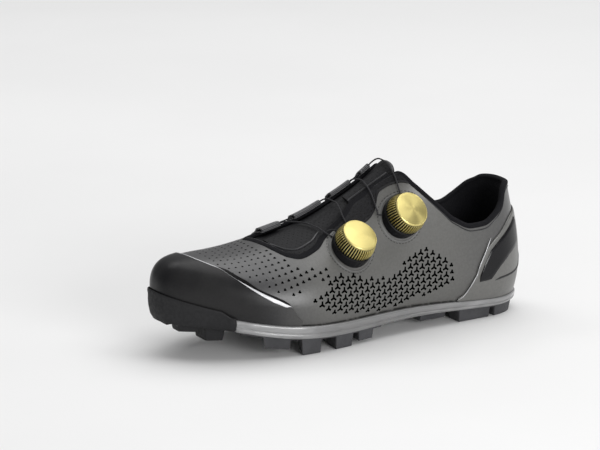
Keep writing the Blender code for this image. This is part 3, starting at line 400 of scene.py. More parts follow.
def raw_last(share, turn):
    """Last surface before it is placed in the frame: a superellipse section at each share."""
    share, turn = np.broadcast_arrays(np.asarray(share, float), np.asarray(turn, float))
    share, turn = np.clip(share, 0.0, 1.0), np.clip(turn, 0.0, 1.0)
    size = sizes()
    end = closing(share, HEEL_CLOSE, HEEL_POWER) * closing(1.0 - share, TOE_CLOSE, TOE_POWER)
    top = closing(1.0 - share, TOE_TOP_CLOSE, TOE_TOP_POWER)
    side = np.where(turn < 0.5, 1.0, -1.0)
    climb = np.where(turn < 0.5, turn, 1.0 - turn) / 0.5
    low = np.clip(climb / BELLY_TURN, 0.0, 1.0)
    angle = np.clip((climb - BELLY_TURN) / (1.0 - BELLY_TURN), 0.0, 1.0) * math.pi / 2.0
    power = section(share, "power")
    across = np.where(climb < BELLY_TURN, 1.0, np.abs(np.cos(angle)) ** (2.0 / power))
    up = np.sin(angle) ** (2.0 / power)
    width = section(share, "half") - size.ball_width * FOOT_TUCK * (1.0 - low) ** 2
    x = section(share, "centre") + side * width * end * across + section(share, "ridge_shift") * end * up
    belly, ridge = section(share, "belly") * top, section(share, "ridge") * top
    height = np.where(climb < BELLY_TURN, belly * low, belly + (ridge - belly) * up)
    lean = HEEL_CURVE(height / size.instep) * size.length * np.clip(1.0 - share / 0.30, 0.0, 1.0) ** 2
    y = size.length * (0.5 - share) - lean
    return np.stack([x, y, section(share, "foot") + height], axis=-1)


def place_of_last():
    """Shift of the last in the frame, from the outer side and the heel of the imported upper."""
    if not PLACE:
        low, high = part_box("upper")
        grid = raw_last(np.linspace(0.0, 1.0, 401)[:, None], np.linspace(0.0, 1.0, 81)[None, :])
        span = grid.reshape(-1, 3)
        middle = (span[:, 0].max() + span[:, 0].min()) / 2.0
        PLACE["shift"] = np.array([(low.x + high.x) / 2.0 - middle, high.y - span[:, 1].max(), 0.0])
    return PLACE["shift"]


def last_point(share, turn):
    """Points of the last surface in the frame."""
    return raw_last(share, turn) + place_of_last()


def last_normal(share, turn):
    """Outward unit normals of the last, laid level along the foot line."""
    share, turn = np.broadcast_arrays(np.asarray(share, float), np.asarray(turn, float))
    step = 2e-4
    along = raw_last(share + step, turn) - raw_last(share - step, turn)
    around = raw_last(share, turn + step) - raw_last(share, turn - step)
    normal = np.cross(around, along)
    climb = np.where(turn < 0.5, turn, 1.0 - turn) / 0.5
    normal[..., 2] *= np.clip(climb / BELLY_TURN, 0.0, 1.0)
    normal[..., 0] = np.where(share < 1e-6, 0.0, normal[..., 0])
    size = np.linalg.norm(normal, axis=-1)
    normal[(size < 1e-12) | (share > 0.99995)] = (0.0, -1.0, 0.0)
    return normal / np.linalg.norm(normal, axis=-1)[..., None]


def offset_point(share, turn, out):
    """Points at a distance outward from the last."""
    point = last_point(share, turn)
    return point + last_normal(share, turn) * np.broadcast_to(out, point.shape[:-1])[..., None]


def turn_at_height(share, height, inner=False):
    """Turn at which the section reaches a height above its foot line."""
    belly, ridge = section(share, "belly"), section(share, "ridge")
    up = np.clip((height - belly) / (ridge - belly), 0.0, 0.98)
    angle = np.arcsin(up ** (section(share, "power") / 2.0))
    high = BELLY_TURN + (1.0 - BELLY_TURN) * angle / (math.pi / 2.0)
    climb = np.where(height < belly, BELLY_TURN * height / belly, high)
    return 1.0 - climb / 2.0 if inner else climb / 2.0


def rows_of(shares, count):
    """The shares repeated across the columns of a grid."""
    return np.repeat(shares[:, None], count, axis=1)


def row_lengths(grid):
    """Length run along each row of a grid of points."""
    step = np.linalg.norm(np.diff(grid, axis=1), axis=2)
    return np.concatenate([np.zeros((len(grid), 1)), np.cumsum(step, axis=1)], axis=1)


def lengths(points):
    """Length run along a path at each of its points."""
    return row_lengths(np.asarray(points)[None])[0]


def even_turns(shares, start, end, marks):
    """Turns between two lines of the last, spaced by the marks (0 to 1) of the length along each row."""
    start, end = np.broadcast_to(start, shares.shape), np.broadcast_to(end, shares.shape)
    fine = np.linspace(0.0, 1.0, 161)
    turn = start[:, None] * (1.0 - fine) + end[:, None] * fine
    run = row_lengths(raw_last(rows_of(shares, len(fine)), turn))
    return np.array([np.interp(marks * r[-1], r, t) if r[-1] > 1e-9 else t[0] + (t[-1] - t[0]) * marks
                     for r, t in zip(run, turn)])


def run_table():
    """Lengths along each section from the outer foot line, kept for the lookups below."""
    if "runs" not in PLACE:
        shares, turns = np.linspace(0.0, 1.0, RUN_ROWS + 1), np.linspace(0.0, 1.0, RUN_COLUMNS + 1)
        PLACE["runs"] = (shares, turns, row_lengths(raw_last(shares[:, None], turns[None, :])))
    return PLACE["runs"]


def run_at(share, turn):
    """Length along the section from the outer foot line."""
    runs = run_table()[2]
    i = np.clip(np.asarray(share) * RUN_ROWS, 0.0, RUN_ROWS - 0.001)
    j = np.clip(np.asarray(turn) * RUN_COLUMNS, 0.0, RUN_COLUMNS - 0.001)
    a, b = i.astype(int), j.astype(int)
    u, v = i - a, j - b
    near = runs[a, b] * (1 - v) + runs[a, b + 1] * v
    far = runs[a + 1, b] * (1 - v) + runs[a + 1, b + 1] * v
    return near * (1 - u) + far * u


def turn_at_run(share, run):
    """Turn at a length along the section from the outer foot line."""
    turns, runs = run_table()[1:]
    share, run = np.broadcast_arrays(np.asarray(share, float), np.asarray(run, float))
    rows = np.clip(np.rint(share * RUN_ROWS).astype(int), 0, RUN_ROWS)
    flat = [np.interp(r, runs[k], turns) for r, k in zip(run.ravel(), rows.ravel())]
    return np.array(flat).reshape(share.shape)


def surface_uv(share, turn):
    """UVs in metres: along the shoe, and up its side from the foot line."""
    return np.stack([share * sizes().length, run_at(share, turn)], axis=-1)


def turn_across(share, distance):
    """Turn at a distance along the surface from the ridge, the outer side positive."""
    return turn_at_run(share, run_at(share, np.full(np.shape(share), 0.5)) - distance)


def even_path(share, turn, count):
    """A path on the last through (share, turn) marks, evenly spaced."""
    run = lengths(raw_last(share, turn))
    at = np.linspace(0.0, run[-1], count)
    return np.interp(at, run, share), np.interp(at, run, turn)


def smooth_path(marks, count):
    """A smooth path on the last through a short list of (share, turn) marks, evenly spaced."""
    marks = np.asarray(marks, float)
    run = lengths(raw_last(marks[:, 0], marks[:, 1]))
    at = np.linspace(0.0, run[-1], count * 3)
    fine = steady_through(run, marks[:, 0])(at), steady_through(run, marks[:, 1])(at)
    return even_path(fine[0], fine[1], count)


def circle(count):
    """Angles round a circle."""
    return np.linspace(0.0, 2.0 * math.pi, count, endpoint=False)


def quads(rows, columns, start=0, wrap_rows=False, wrap_columns=False):
    """Faces of a rows by columns grid of points."""
    i = np.arange(rows if wrap_rows else rows - 1)[:, None]
    j = np.arange(columns if wrap_columns else columns - 1)[None, :]
    far_i, far_j = (i + 1) % rows, (j + 1) % columns
    faces = [i * columns + j, i * columns + far_j, far_i * columns + far_j, far_i * columns + j]
    return start + np.stack(np.broadcast_arrays(*faces), axis=-1).reshape(-1, 4)


class MeshParts:
    """Points, faces, UVs and finish numbers gathered for one mesh."""

    def __init__(self):
        self.points, self.uvs, self.faces, self.finish = [], [], [], []
        self.count = 0

    def add_points(self, points, uv=None):
        """Add points and give the number of the first."""
        flat = np.asarray(points, float).reshape(-1, 3)
        uv = np.zeros((len(flat), 2)) if uv is None else np.asarray(uv, float).reshape(-1, 2)
        self.points.append(flat)
        self.uvs.append(uv)
        self.count += len(flat)
        return self.count - len(flat)

    def add_faces(self, faces, finish=0):
        """Add faces with a finish number."""
        faces = faces.tolist() if isinstance(faces, np.ndarray) else faces
        self.faces += faces
        self.finish += [finish] * len(faces)

    def tube(self, rings, uv=None, closed=False, finish=0, caps=(True, True)):
        """Rings of points joined into a tube, its ends capped unless it closes on itself."""
        rows, columns = rings.shape[:2]
        start = self.add_points(rings, uv)
        self.add_faces(quads(rows, columns, start, closed, True), finish)
        for cap, row, order in zip(caps, (0, rows - 1), (-1, 1)):
            if cap and not closed:
                first = start + row * columns
                self.add_faces([list(range(first, first + columns))[::order]], finish)

    def cord(self, points, normals, wide, tall, sides=10, closed=False, finish=0):
        """A round cord along a path: half its width and height, alike or one for each point."""
        angle = circle(sides)
        wide, tall = (np.broadcast_to(half, len(points))[:, None] for half in (wide, tall))
        rings = carried(points, normals, np.cos(angle) * wide, np.sin(angle) * tall, closed)
        self.tube(rings, path_uv(points, sides), closed, finish)

    def stitch(self, middle, way, normal, marks, radius):
        """A short round-ended stitch laid along a way, with rings at the marks."""
        angle = circle(6)
        ring = np.cross(way, normal) * np.cos(angle)[:, None] + normal * np.sin(angle)[:, None]
        places = middle + way * np.array(marks)[:, None]
        self.tube(places[:, None] + ring[None, :] * STITCH_TAPER[:, None, None] * radius)

    def slab(self, outer, inner, uv=None, finish=0):
        """A closed solid between two grids of the same shape."""
        rows, columns = outer.shape[:2]
        a, b = self.add_points(outer, uv), self.add_points(inner, uv)
        self.add_faces(quads(rows, columns, a), finish)
        self.add_faces(quads(rows, columns, b)[:, ::-1], finish)
        i, j = np.arange(rows), np.arange(columns)
        for line in (j, (rows - 1) * columns + j, i * columns, i * columns + columns - 1):
            rim = np.stack([a + line[:-1], a + line[1:], b + line[1:], b + line[:-1]], axis=1)
            self.add_faces(rim, finish)


def carried(points, normals, across, rise, closed=False):
    """A profile carried along a path: point plus side times across plus normal times rise."""
    ahead = np.roll(points, -1, axis=0) if closed else np.concatenate([points[1:], points[-1:]])
    behind = np.roll(points, 1, axis=0) if closed else np.concatenate([points[:1], points[:-1]])
    tangent = ahead - behind
    tangent /= np.linalg.norm(tangent, axis=1)[:, None]
    normals = normals - tangent * np.sum(normals * tangent, axis=1)[:, None]
    normals /= np.linalg.norm(normals, axis=1)[:, None]
    side = np.cross(tangent, normals)
    across = np.broadcast_to(across, (len(points), np.shape(across)[-1]))
    rise = np.broadcast_to(rise, across.shape)
    return points[:, None] + side[:, None] * across[..., None] + normals[:, None] * rise[..., None]


def path_uv(points, columns):
    """UVs of a tube along a path: metres along it, and round it from 0 to 1."""
    around = np.arange(columns)[None, :] / columns
    return np.stack(np.broadcast_arrays(lengths(points)[:, None], around), axis=-1)


def placed(name, data):
    """A new object in the scene."""
    thing = bpy.data.objects.new(name, data)
    bpy.context.scene.collection.objects.link(thing)
    return thing


def apply_modifiers(piece, *names):
    """Apply a piece's modifiers in order."""
    with bpy.context.temp_override(object=piece, active_object=piece, selected_objects=[piece]):
        for name in names:
            bpy.ops.object.modifier_apply(modifier=name)


def make_piece(name, parts, materials, replaces=(), sharp=38.0, merge=2e-6):
    """A piece from its parts: doubles merged, faces turned outward, smooth but for its sharp edges."""
    points, uvs = np.concatenate(parts.points), np.concatenate(parts.uvs)
    mesh = bpy.data.meshes.new(name)
    mesh.from_pydata(points, [], parts.faces)
    mesh.polygons.foreach_set("material_index", np.array(parts.finish, dtype=np.int32))
    layer = mesh.uv_layers.new(name="surface")
    corner = np.empty(len(mesh.loops), dtype=np.int32)
    mesh.loops.foreach_get("vertex_index", corner)
    layer.data.foreach_set("uv", uvs[corner].astype(np.float32).ravel())
    work = bmesh.new()
    work.from_mesh(mesh)
    bmesh.ops.remove_doubles(work, verts=work.verts, dist=merge)
    bmesh.ops.dissolve_degenerate(work, dist=1e-7, edges=work.edges)
    bmesh.ops.recalc_face_normals(work, faces=work.faces)
    work.to_mesh(mesh)
    work.free()
    mesh.shade_smooth()
    mesh.set_sharp_from_angle(angle=math.radians(sharp))
    piece = placed(name, mesh)
    for material in materials:
        mesh.materials.append(material)
    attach(piece, BODY)
    if replaces:
        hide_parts(*replaces)
    return piece


def slab_piece(name, outer, inner, finish, replaces=(), uv=None, sharp=38.0):
    """A piece that is one closed solid between two grids."""
    parts = MeshParts()
    parts.slab(outer, inner, uv)
    return make_piece(name, parts, [finish], replaces, sharp)


def cord_piece(name, points, normals, wide, tall, finish, replaces=(), sides=8, closed=False):
    """A piece that is one cord along a path."""
    parts = MeshParts()
    parts.cord(points, normals, wide, tall, sides, closed)
    return make_piece(name, parts, [finish], replaces)


def tree_of(piece):
    """Ray-casting tree of a piece's mesh."""
    work = bmesh.new()
    work.from_mesh(piece.data)
    tree = BVHTree.FromBMesh(work)
    work.free()
    return tree


def socket_value(tree, node, name, value):
    """Set or link one input of a node."""
    socket = node.inputs[name]
    if isinstance(value, bpy.types.NodeSocket):
        tree.links.new(value, socket)
    elif value is not None:
        socket.default_value = value


def put(tree, kind, inputs=None, **settings):
    """Add a node with its settings and inputs."""
    node = tree.nodes.new(kind)
    for key, value in settings.items():
        setattr(node, key, value)
    for name, value in (inputs or {}).items():
        socket_value(tree, node, name, value)
    return node


def maths(tree, operation, a, b=0.0, c=0.0):
    """A Math node's result."""
    node = put(tree, "ShaderNodeMath", {0: a, 1: b, 2: c}, operation=operation)
    return node.outputs[0]


def blended(tree, factor, a, b):
    """Two colours mixed by a factor."""
    node = put(tree, "ShaderNodeMix", data_type="RGBA")
    socket_value(tree, node, 0, factor)
    socket_value(tree, node, 6, a)
    socket_value(tree, node, 7, b)
    return node.outputs[2]


def fitted(tree, value, low, high, to_low=0.0, to_high=1.0):
    """A value mapped from one range to another and clamped."""
    inputs = {0: value, 1: low, 2: high, 3: to_low, 4: to_high}
    return put(tree, "ShaderNodeMapRange", inputs, interpolation_type="SMOOTHSTEP").outputs[0]


def scaled_group(name, label, default, outputs, fill):
    """A shader group of a vector and one number, filled by a function if it isn't there yet."""
    if name in bpy.data.node_groups:
        return bpy.data.node_groups[name]
    group = bpy.data.node_groups.new(name, "ShaderNodeTree")
    group.interface.new_socket("Vector", in_out="INPUT", socket_type="NodeSocketVector")
    number = group.interface.new_socket(label, in_out="INPUT", socket_type="NodeSocketFloat")
    number.default_value = default
    for socket in outputs:
        group.interface.new_socket(socket, in_out="OUTPUT", socket_type="NodeSocketFloat")
    source, result = group.nodes.new("NodeGroupInput").outputs, group.nodes.new("NodeGroupOutput").inputs
    for socket, value in zip(outputs, fill(group, source[0], source[1])):
        group.links.new(value, result[socket])
    return group


def grain_group():
    """Leather grain: pebbles from cells and creases from noise."""
    def fill(group, place, scale):
        cells = put(group, "ShaderNodeTexVoronoi", {"Vector": place, "Scale": scale}, feature="SMOOTH_F1")
        slow = maths(group, "MULTIPLY", scale, 0.35)
        creases = {"Vector": place, "Scale": slow, "Detail": 5.0, "Roughness": 0.6}
        noise = put(group, "ShaderNodeTexNoise", creases)
        height = maths(group, "MULTIPLY_ADD", cells.outputs["Distance"], 0.6, noise.outputs["Fac"])
        return height, fitted(group, noise.outputs["Fac"], 0.35, 0.65)

    return scaled_group("pebbled_grain", "Scale", 1500.0, ("Height", "Mask"), fill)


def mottle_group():
    """Slow uneven tone, as handling and light dust leave it."""
    def fill(group, place, scale):
        slow = put(group, "ShaderNodeTexNoise", {"Vector": place, "Scale": scale, "Detail": 4.0})
        return (fitted(group, slow.outputs["Fac"], 0.36, 0.64),)

    return scaled_group("mottle", "Scale", 30.0, ("Mask",), fill)


def weave_group():
    """Plain weave: two crossed sets of threads over a place in metres; its Shade is a painted shade, darkest
    in the dips between the threads.
    """
    def fill(group, place, pitch):
        turn = maths(group, "DIVIDE", 2.0 * math.pi, pitch)
        parts = put(group, "ShaderNodeSeparateXYZ", {0: place}).outputs
        waves = [maths(group, "SINE", maths(group, "MULTIPLY", part, turn)) for part in parts]
        across = maths(group, "MULTIPLY", waves[0], waves[1])
        height = maths(group, "MULTIPLY_ADD", across, 0.5, maths(group, "MULTIPLY", waves[1], waves[2]))
        return height, fitted(group, height, -0.8, 1.0, 0.55, 1.0)

    return scaled_group("plain_weave", "Pitch", 0.0008, ("Height", "Shade"), fill)


def marble_group():
    """Chopped fibres pressed into resin: patches drawn out along the shoe."""
    def fill(group, place, scale):
        place = put(group, "ShaderNodeMapping", {"Vector": place, "Scale": (1.0, 0.42, 2.2)}).outputs[0]
        bent = put(group, "ShaderNodeTexNoise", {"Vector": place, "Scale": scale, "Detail": 3.0,
                                                 "Distortion": 1.6})
        small = maths(group, "MULTIPLY", scale, 3.0)
        fine = put(group, "ShaderNodeTexVoronoi", {"Vector": place, "Scale": small})
        return fitted(group, bent.outputs["Fac"], 0.38, 0.66), fine.outputs["Distance"]

    return scaled_group("pressed_fibres", "Scale", 90.0, ("Mask", "Fine"), fill)


def new_finish(name, roughness, metallic=0.0, coat=0.0, coat_roughness=0.1, sheen=0.0, specular=0.5,
               anisotropy=0.0):
    """A Principled material with its constant values; gives its tree, shader and coordinates."""
    name = f"{name}_finish"
    if name in bpy.data.materials:
        return bpy.data.materials[name], None, None, None
    material = bpy.data.materials.new(name)
    material.use_nodes = True
    tree = material.node_tree
    shader = tree.nodes["Principled BSDF"]
    values = {"Roughness": roughness, "Metallic": metallic, "Coat Weight": coat,
              "Coat Roughness": coat_roughness, "Sheen Weight": sheen, "Specular IOR Level": specular,
              "Anisotropic": anisotropy}
    for socket, value in values.items():
        shader.inputs[socket].default_value = value
    return material, tree, shader, tree.nodes.new("ShaderNodeTexCoord").outputs


def place_group(tree, group, place, number):
    """Put a shader group into a material and give its outputs."""
    node = tree.nodes.new("ShaderNodeGroup")
    node.node_tree = group
    for index, value in enumerate((place, number)):
        socket_value(tree, node, index, value)
    return node.outputs


def dress(tree, shader, tone, height, depth, rough=None):
    """Link a finish's colour, its bump of a depth in metres, and its roughness where that varies."""
    tree.links.new(tone, shader.inputs["Base Color"])
    if rough is not None:
        tree.links.new(rough, shader.inputs["Roughness"])
    bump = put(tree, "ShaderNodeBump", {"Height": height, "Distance": depth})
    tree.links.new(bump.outputs["Normal"], shader.inputs["Normal"])


def rgba(colour, gain=1.0):
    """A colour with its alpha."""
    return (colour[0] * gain, colour[1] * gain, colour[2] * gain, 1.0)


def skin_finish(name="upper_skin", cap=False, heel_dark=0.62, gain=1.0):
    """Satin synthetic leather: warm grey at the sides, charcoal at the toe and heel."""
    specular, coat, scale, depth, smooth, rough = SKIN_LOOKS[cap]
    material, tree, shader, where = new_finish(name, 0.38, coat=coat, coat_roughness=0.24, specular=specular)
    if tree is None:
        return material
    place = where["Object"]
    grain = place_group(tree, grain_group(), place, scale)
    mottle = place_group(tree, mottle_group(), place, 22.0)["Mask"]
    along = put(tree, "ShaderNodeSeparateXYZ", {0: place}).outputs[1]
    toe = fitted(tree, along, -0.030, -0.085)
    heel = fitted(tree, along, 0.060, 0.125, 0.0, heel_dark)
    dark = maths(tree, "MAXIMUM", toe, heel)
    tone = blended(tree, dark, rgba(colours().skin, gain), rgba(colours().dark_skin))
    if cap:
        tone = blended(tree, fitted(tree, along, -0.066, -0.092), tone, rgba(colours().cap))
    tone = blended(tree, maths(tree, "MULTIPLY", mottle, 0.16), tone, rgba((0.085, 0.083, 0.078)))
    tone = blended(tree, maths(tree, "MULTIPLY", grain["Mask"], 0.14), tone, rgba((0.008, 0.008, 0.008)))
    dress(tree, shader, tone, grain["Height"], depth, fitted(tree, mottle, 0.0, 1.0, smooth, rough))
    return material


def textile_finish(name, pitch=0.0008, colour=None, depth=0.00012, lighter=2.2):
    """Woven textile, black unless a colour is given, with a painted shade between its threads."""
    material, tree, shader, where = new_finish(name, 0.85, specular=0.1)
    if tree is None:
        return material
    colour = colours().textile if colour is None else colour
    weave = place_group(tree, weave_group(), where["Object"], pitch)
    mottle = place_group(tree, mottle_group(), where["Object"], 60.0)["Mask"]
    # Painted shade: the dips between the threads are painted darker and the thread tops lighter.
    tone = blended(tree, weave["Shade"], rgba(colour, 0.45), rgba(colour, lighter))
    tone = blended(tree, maths(tree, "MULTIPLY", mottle, 0.25), tone, rgba(colour, 1.6))
    dress(tree, shader, tone, weave["Height"], depth)
    return material


def dotted_finish(name="perforated_panel"):
    """Thin charcoal panel with rows of pinholes over its UV map in metres."""
    material, tree, shader, where = new_finish(name, 0.55, specular=0.15)
    if tree is None:
        return material
    parts = put(tree, "ShaderNodeSeparateXYZ", {0: where["UV"]}).outputs
    row = maths(tree, "DIVIDE", parts[1], PINHOLE_PITCH * 0.866)
    odd = maths(tree, "MULTIPLY", maths(tree, "FLOORED_MODULO", maths(tree, "FLOOR", row), 2.0), 0.5)
    column = maths(tree, "ADD", maths(tree, "DIVIDE", parts[0], PINHOLE_PITCH), odd)
    near = [maths(tree, "SUBTRACT", maths(tree, "FRACT", value), 0.5) for value in (column, row)]
    squares = [maths(tree, "MULTIPLY", value, value) for value in near]
    distance = maths(tree, "SQRT", maths(tree, "ADD", squares[0], squares[1]))
    hole = fitted(tree, distance, 0.13, 0.20)
    grain = place_group(tree, grain_group(), where["Object"], 2400.0)
    skin = blended(tree, grain["Mask"], rgba((0.006, 0.006, 0.007)), rgba((0.012, 0.012, 0.0135)))
    tone = blended(tree, hole, rgba((0.004, 0.004, 0.004)), skin)
    dress(tree, shader, tone, maths(tree, "MULTIPLY_ADD", grain["Height"], 0.10, hole), 0.0003)
    return material


def waves(tree, value, pitch):
    """A value in metres turned into an angle that comes round once each pitch."""
    return maths(tree, "MULTIPLY", value, 2.0 * math.pi / pitch)


def webbing_finish(name="webbing"):
    """Ribbed strap over a UV map in metres: ribs across it, threads along it, a painted highlight on the rib
    tops.
    """
    material, tree, shader, where = new_finish(name, 0.42, sheen=0.2)
    if tree is None:
        return material
    parts = put(tree, "ShaderNodeSeparateXYZ", {0: where["UV"]}).outputs
    ribs = maths(tree, "SINE", waves(tree, parts[1], 0.0011))
    threads = maths(tree, "SINE", waves(tree, parts[0], 0.0008))
    height = maths(tree, "MULTIPLY_ADD", threads, 0.3, ribs)
    # Painted highlight and shade: rib tops pale grey, the grooves between them near black.
    lit = fitted(tree, height, -1.0, 1.2)
    tone = blended(tree, lit, rgba((0.012, 0.012, 0.013)), rgba((0.110, 0.110, 0.118)))
    dress(tree, shader, tone, height, 0.00016)
    return material


def rubber_finish(name="tread_rubber", gain=1.0):
    """Moulded charcoal rubber with fine matt pits and an uneven tone."""
    material, tree, shader, where = new_finish(name, 0.62, specular=0.25)
    if tree is None:
        return material
    grain = place_group(tree, grain_group(), where["Object"], 1200.0)
    mottle = place_group(tree, mottle_group(), where["Object"], 45.0)["Mask"]
    tone = blended(tree, mottle, rgba(colours().rubber, gain), rgba(colours().rubber, 1.35 * gain))
    dress(tree, shader, tone, grain["Height"], 0.00007, fitted(tree, grain["Mask"], 0.0, 1.0, 0.55, 0.72))
    return material


def band_finish(name="plate_resin"):
    """Clear-coated pressed-fibre composite."""
    material, tree, shader, where = new_finish(name, 0.34, coat=0.9, coat_roughness=0.08)
    if tree is None:
        return material
    fibres = place_group(tree, marble_group(), where["Object"], 55.0)
    along = put(tree, "ShaderNodeSeparateXYZ", {0: where["Object"]}).outputs[1]
    front, back = fitted(tree, along, -0.085, -0.015), fitted(tree, along, 0.110, 0.040, 0.25)
    arch = maths(tree, "MULTIPLY", front, back)
    tone = blended(tree, arch, rgba(colours().band_toe), rgba(colours().band_arch))
    tone = blended(tree, maths(tree, "MULTIPLY", fibres["Mask"], 0.42), tone, rgba((0.11, 0.11, 0.112)))
    tone = blended(tree, maths(tree, "MULTIPLY", fibres["Fine"], 0.16), tone, rgba((0.02, 0.02, 0.02)))
    dress(tree, shader, tone, fibres["Fine"], 0.00003, fitted(tree, fibres["Mask"], 0.0, 1.0, 0.30, 0.42))
    return material


def flat_finish(name, colour, roughness, metallic=0.0, coat=0.0, spread=0.12, specular=0.5):
    """A moulded or painted finish with a faint orange peel and uneven tone."""
    material, tree, shader, where = new_finish(name, roughness, metallic, coat, specular=specular)
    if tree is None:
        return material
    grain = place_group(tree, grain_group(), where["Object"], 2200.0)
    mottle = place_group(tree, mottle_group(), where["Object"], 80.0)["Mask"]
    tone = blended(tree, mottle, rgba(colour, 1.0 - spread), rgba(colour, 1.0 + spread))
    rough = fitted(tree, mottle, 0.0, 1.0, roughness * 0.9, roughness * 1.15)
    dress(tree, shader, tone, grain["Height"], 0.00002, rough)
    return material


def gold_finish(name="dial_metal", brushed=False):
    """Pale gold anodised metal; brushed in circles where the UV map gives angle and radius."""
    material, tree, shader, where = new_finish(name, 0.30, metallic=1.0, anisotropy=0.7 if brushed else 0.0)
    if tree is None:
        return material
    place, scale, rough = where["Object"], 900.0, (0.27, 0.40)
    if brushed:
        tangent = put(tree, "ShaderNodeTangent", direction_type="UV_MAP", uv_map="surface")
        tree.links.new(tangent.outputs[0], shader.inputs["Tangent"])
        rings = put(tree, "ShaderNodeMapping", {"Vector": where["UV"], "Scale": (0.8, 9000.0, 1.0)})
        place, scale, rough = rings.outputs[0], 1.0, (0.36, 0.50)
    noise = put(tree, "ShaderNodeTexNoise", {"Vector": place, "Scale": scale, "Detail": 3.0}).outputs["Fac"]
    mask = fitted(tree, noise, 0.3, 0.7)
    tone = blended(tree, mask, rgba(colours().gold, 0.90), rgba(colours().gold, 1.05))
    dress(tree, shader, tone, noise, 0.000012, fitted(tree, mask, 0.0, 1.0, *rough))
    return material


def lace_finish(name="lace_cord"):
    """Braided cord: crossed strands round the tube over its UV map, their crowns painted lighter as a painted
    highlight.
    """
    material, tree, shader, where = new_finish(name, 0.5, specular=0.15)
    if tree is None:
        return material
    parts = put(tree, "ShaderNodeSeparateXYZ", {0: where["UV"]}).outputs
    along, around = waves(tree, parts[0], 0.0016), waves(tree, parts[1], 1.0 / 3.0)
    strands = [maths(tree, "SINE", maths(tree, how, along, around)) for how in ("ADD", "SUBTRACT")]
    height = maths(tree, "MAXIMUM", strands[0], strands[1])
    # Painted highlight on the strand crowns and painted shade in the hollows between the strands.
    lit = fitted(tree, height, -0.6, 1.0)
    tone = blended(tree, lit, rgba((0.005, 0.005, 0.006)), rgba((0.040, 0.040, 0.043)))
    dress(tree, shader, tone, height, 0.00008)
    return material


def strips(shares, curves, marks, inner_out, outer_out, joined):
    """An outer and an inner strip from each foot line to an edge, joined at the heel and past a share."""
    parts = MeshParts()
    rows, columns = len(shares), len(marks)
    share = rows_of(shares, columns)

    def rim(a, b, line, finish=0):
        ahead, here = line[1:], line[:-1]
        parts.add_faces(np.stack([a + here, a + ahead, b + ahead, b + here], axis=1), finish)

    for curve, foot in zip(curves, (0.0, 1.0)):
        turn = even_turns(shares, foot, curve(shares), marks)
        uv = surface_uv(share, turn)
        a = parts.add_points(offset_point(share, turn, outer_out), uv)
        b = parts.add_points(offset_point(share, turn, inner_out), uv)
        parts.add_faces(quads(rows, columns, a))
        parts.add_faces(quads(rows, columns, b)[:, ::-1], 1)
        low = np.arange(rows) * columns
        rim(a, b, low, 1)
        rim(a, b, low[shares <= joined + 1e-6] + columns - 1)
        if shares[0] > 0.0:
            rim(a, b, np.arange(columns))
    return parts


def toe_rows(start, count):
    """Shares from a start to the toe, closer together towards it."""
    return start + (1.0 - start) * np.sin(np.linspace(0.0, 1.0, count) * math.pi / 2.0)


def heel_rows(end, count):
    """Shares from the heel's back forward, closer together at the heel."""
    return end * (1.0 - np.cos(np.linspace(0.0, 1.0, count) * math.pi / 2.0))


def inside_field(u, v, field):
    """Whether points lie in a polygon, and their distance to its outline."""
    inside, nearest = np.zeros(u.shape, bool), np.full(u.shape, 1.0)
    for (x0, y0), (x1, y1) in zip(field, np.roll(field, -1, axis=0)):
        crosses = (y0 > v) != (y1 > v)
        at = (x1 - x0) * (v - y0) / np.where(y1 == y0, 1e-9, y1 - y0) + x0
        inside ^= crosses & (u < at)
        span = max((x1 - x0) ** 2 + (y1 - y0) ** 2, 1e-12)
        k = np.clip(((u - x0) * (x1 - x0) + (v - y0) * (y1 - y0)) / span, 0.0, 1.0)
        nearest = np.minimum(nearest, np.hypot(u - x0 - k * (x1 - x0), v - y0 - k * (y1 - y0)))
    return inside, nearest


def cut_places():
    """Centres of the cuts on a slanted lattice in unrolled lengths: share, turn and size from 0 to 1."""
    size, found = sizes(), []
    ways = [(u * size.cut_pitch, v * size.cut_pitch) for u, v in CUT_WAYS]
    i, j = np.meshgrid(np.arange(-70, 71), np.arange(-70, 71), indexing="ij")
    u = CUT_ORIGIN[0] + i * ways[0][0] + j * ways[1][0]
    v = CUT_ORIGIN[1] + i * ways[0][1] + j * ways[1][1]
    keep = (u > 0.0) & (u < CUT_REACH[0]) & (v > 0.0) & (v < CUT_REACH[1])
    u, v = u[keep], v[keep]
    for inner, fields in ((False, (OUTER_CUTS, OUTER_DOTS)), (True, (INNER_CUTS, INNER_DOTS, INNER_ROWS))):
        for kind, field in enumerate(fields):
            marks = np.array(field, float)
            turn = 1.0 - marks[:, 1] if inner else marks[:, 1]
            run = run_at(marks[:, 0], turn)
            whole = run_at(marks[:, 0], np.ones(len(marks)))
            outline = np.stack([marks[:, 0] * size.length, whole - run if inner else run], axis=1)
            inside, nearest = inside_field(u, v, outline)
            share = u[inside] / size.length
            reach = run_at(share, np.ones(share.shape)) - v[inside] if inner else v[inside]
            where = turn_at_run(share, reach)
            if kind == 0:
                big = 0.50 + 0.50 * smoothstep(nearest[inside] / 0.0030)
            elif kind == 1:
                big = 0.10 + 0.27 * smoothstep((0.83 - share) / 0.17)
            else:
                big = np.full(share.shape, 0.10)
            found.append(np.stack([share, where, big], axis=1))
    found = np.concatenate(found)
    points = last_point(found[:, 0], found[:, 1])
    order = np.argsort(-found[:, 2], kind="stable")
    kept = []
    for k in order:
        if all(np.linalg.norm(points[k] - points[m]) > size.cut_pitch * CUT_SPACE for m in kept[-400:]):
            kept.append(k)
    return found[kept]


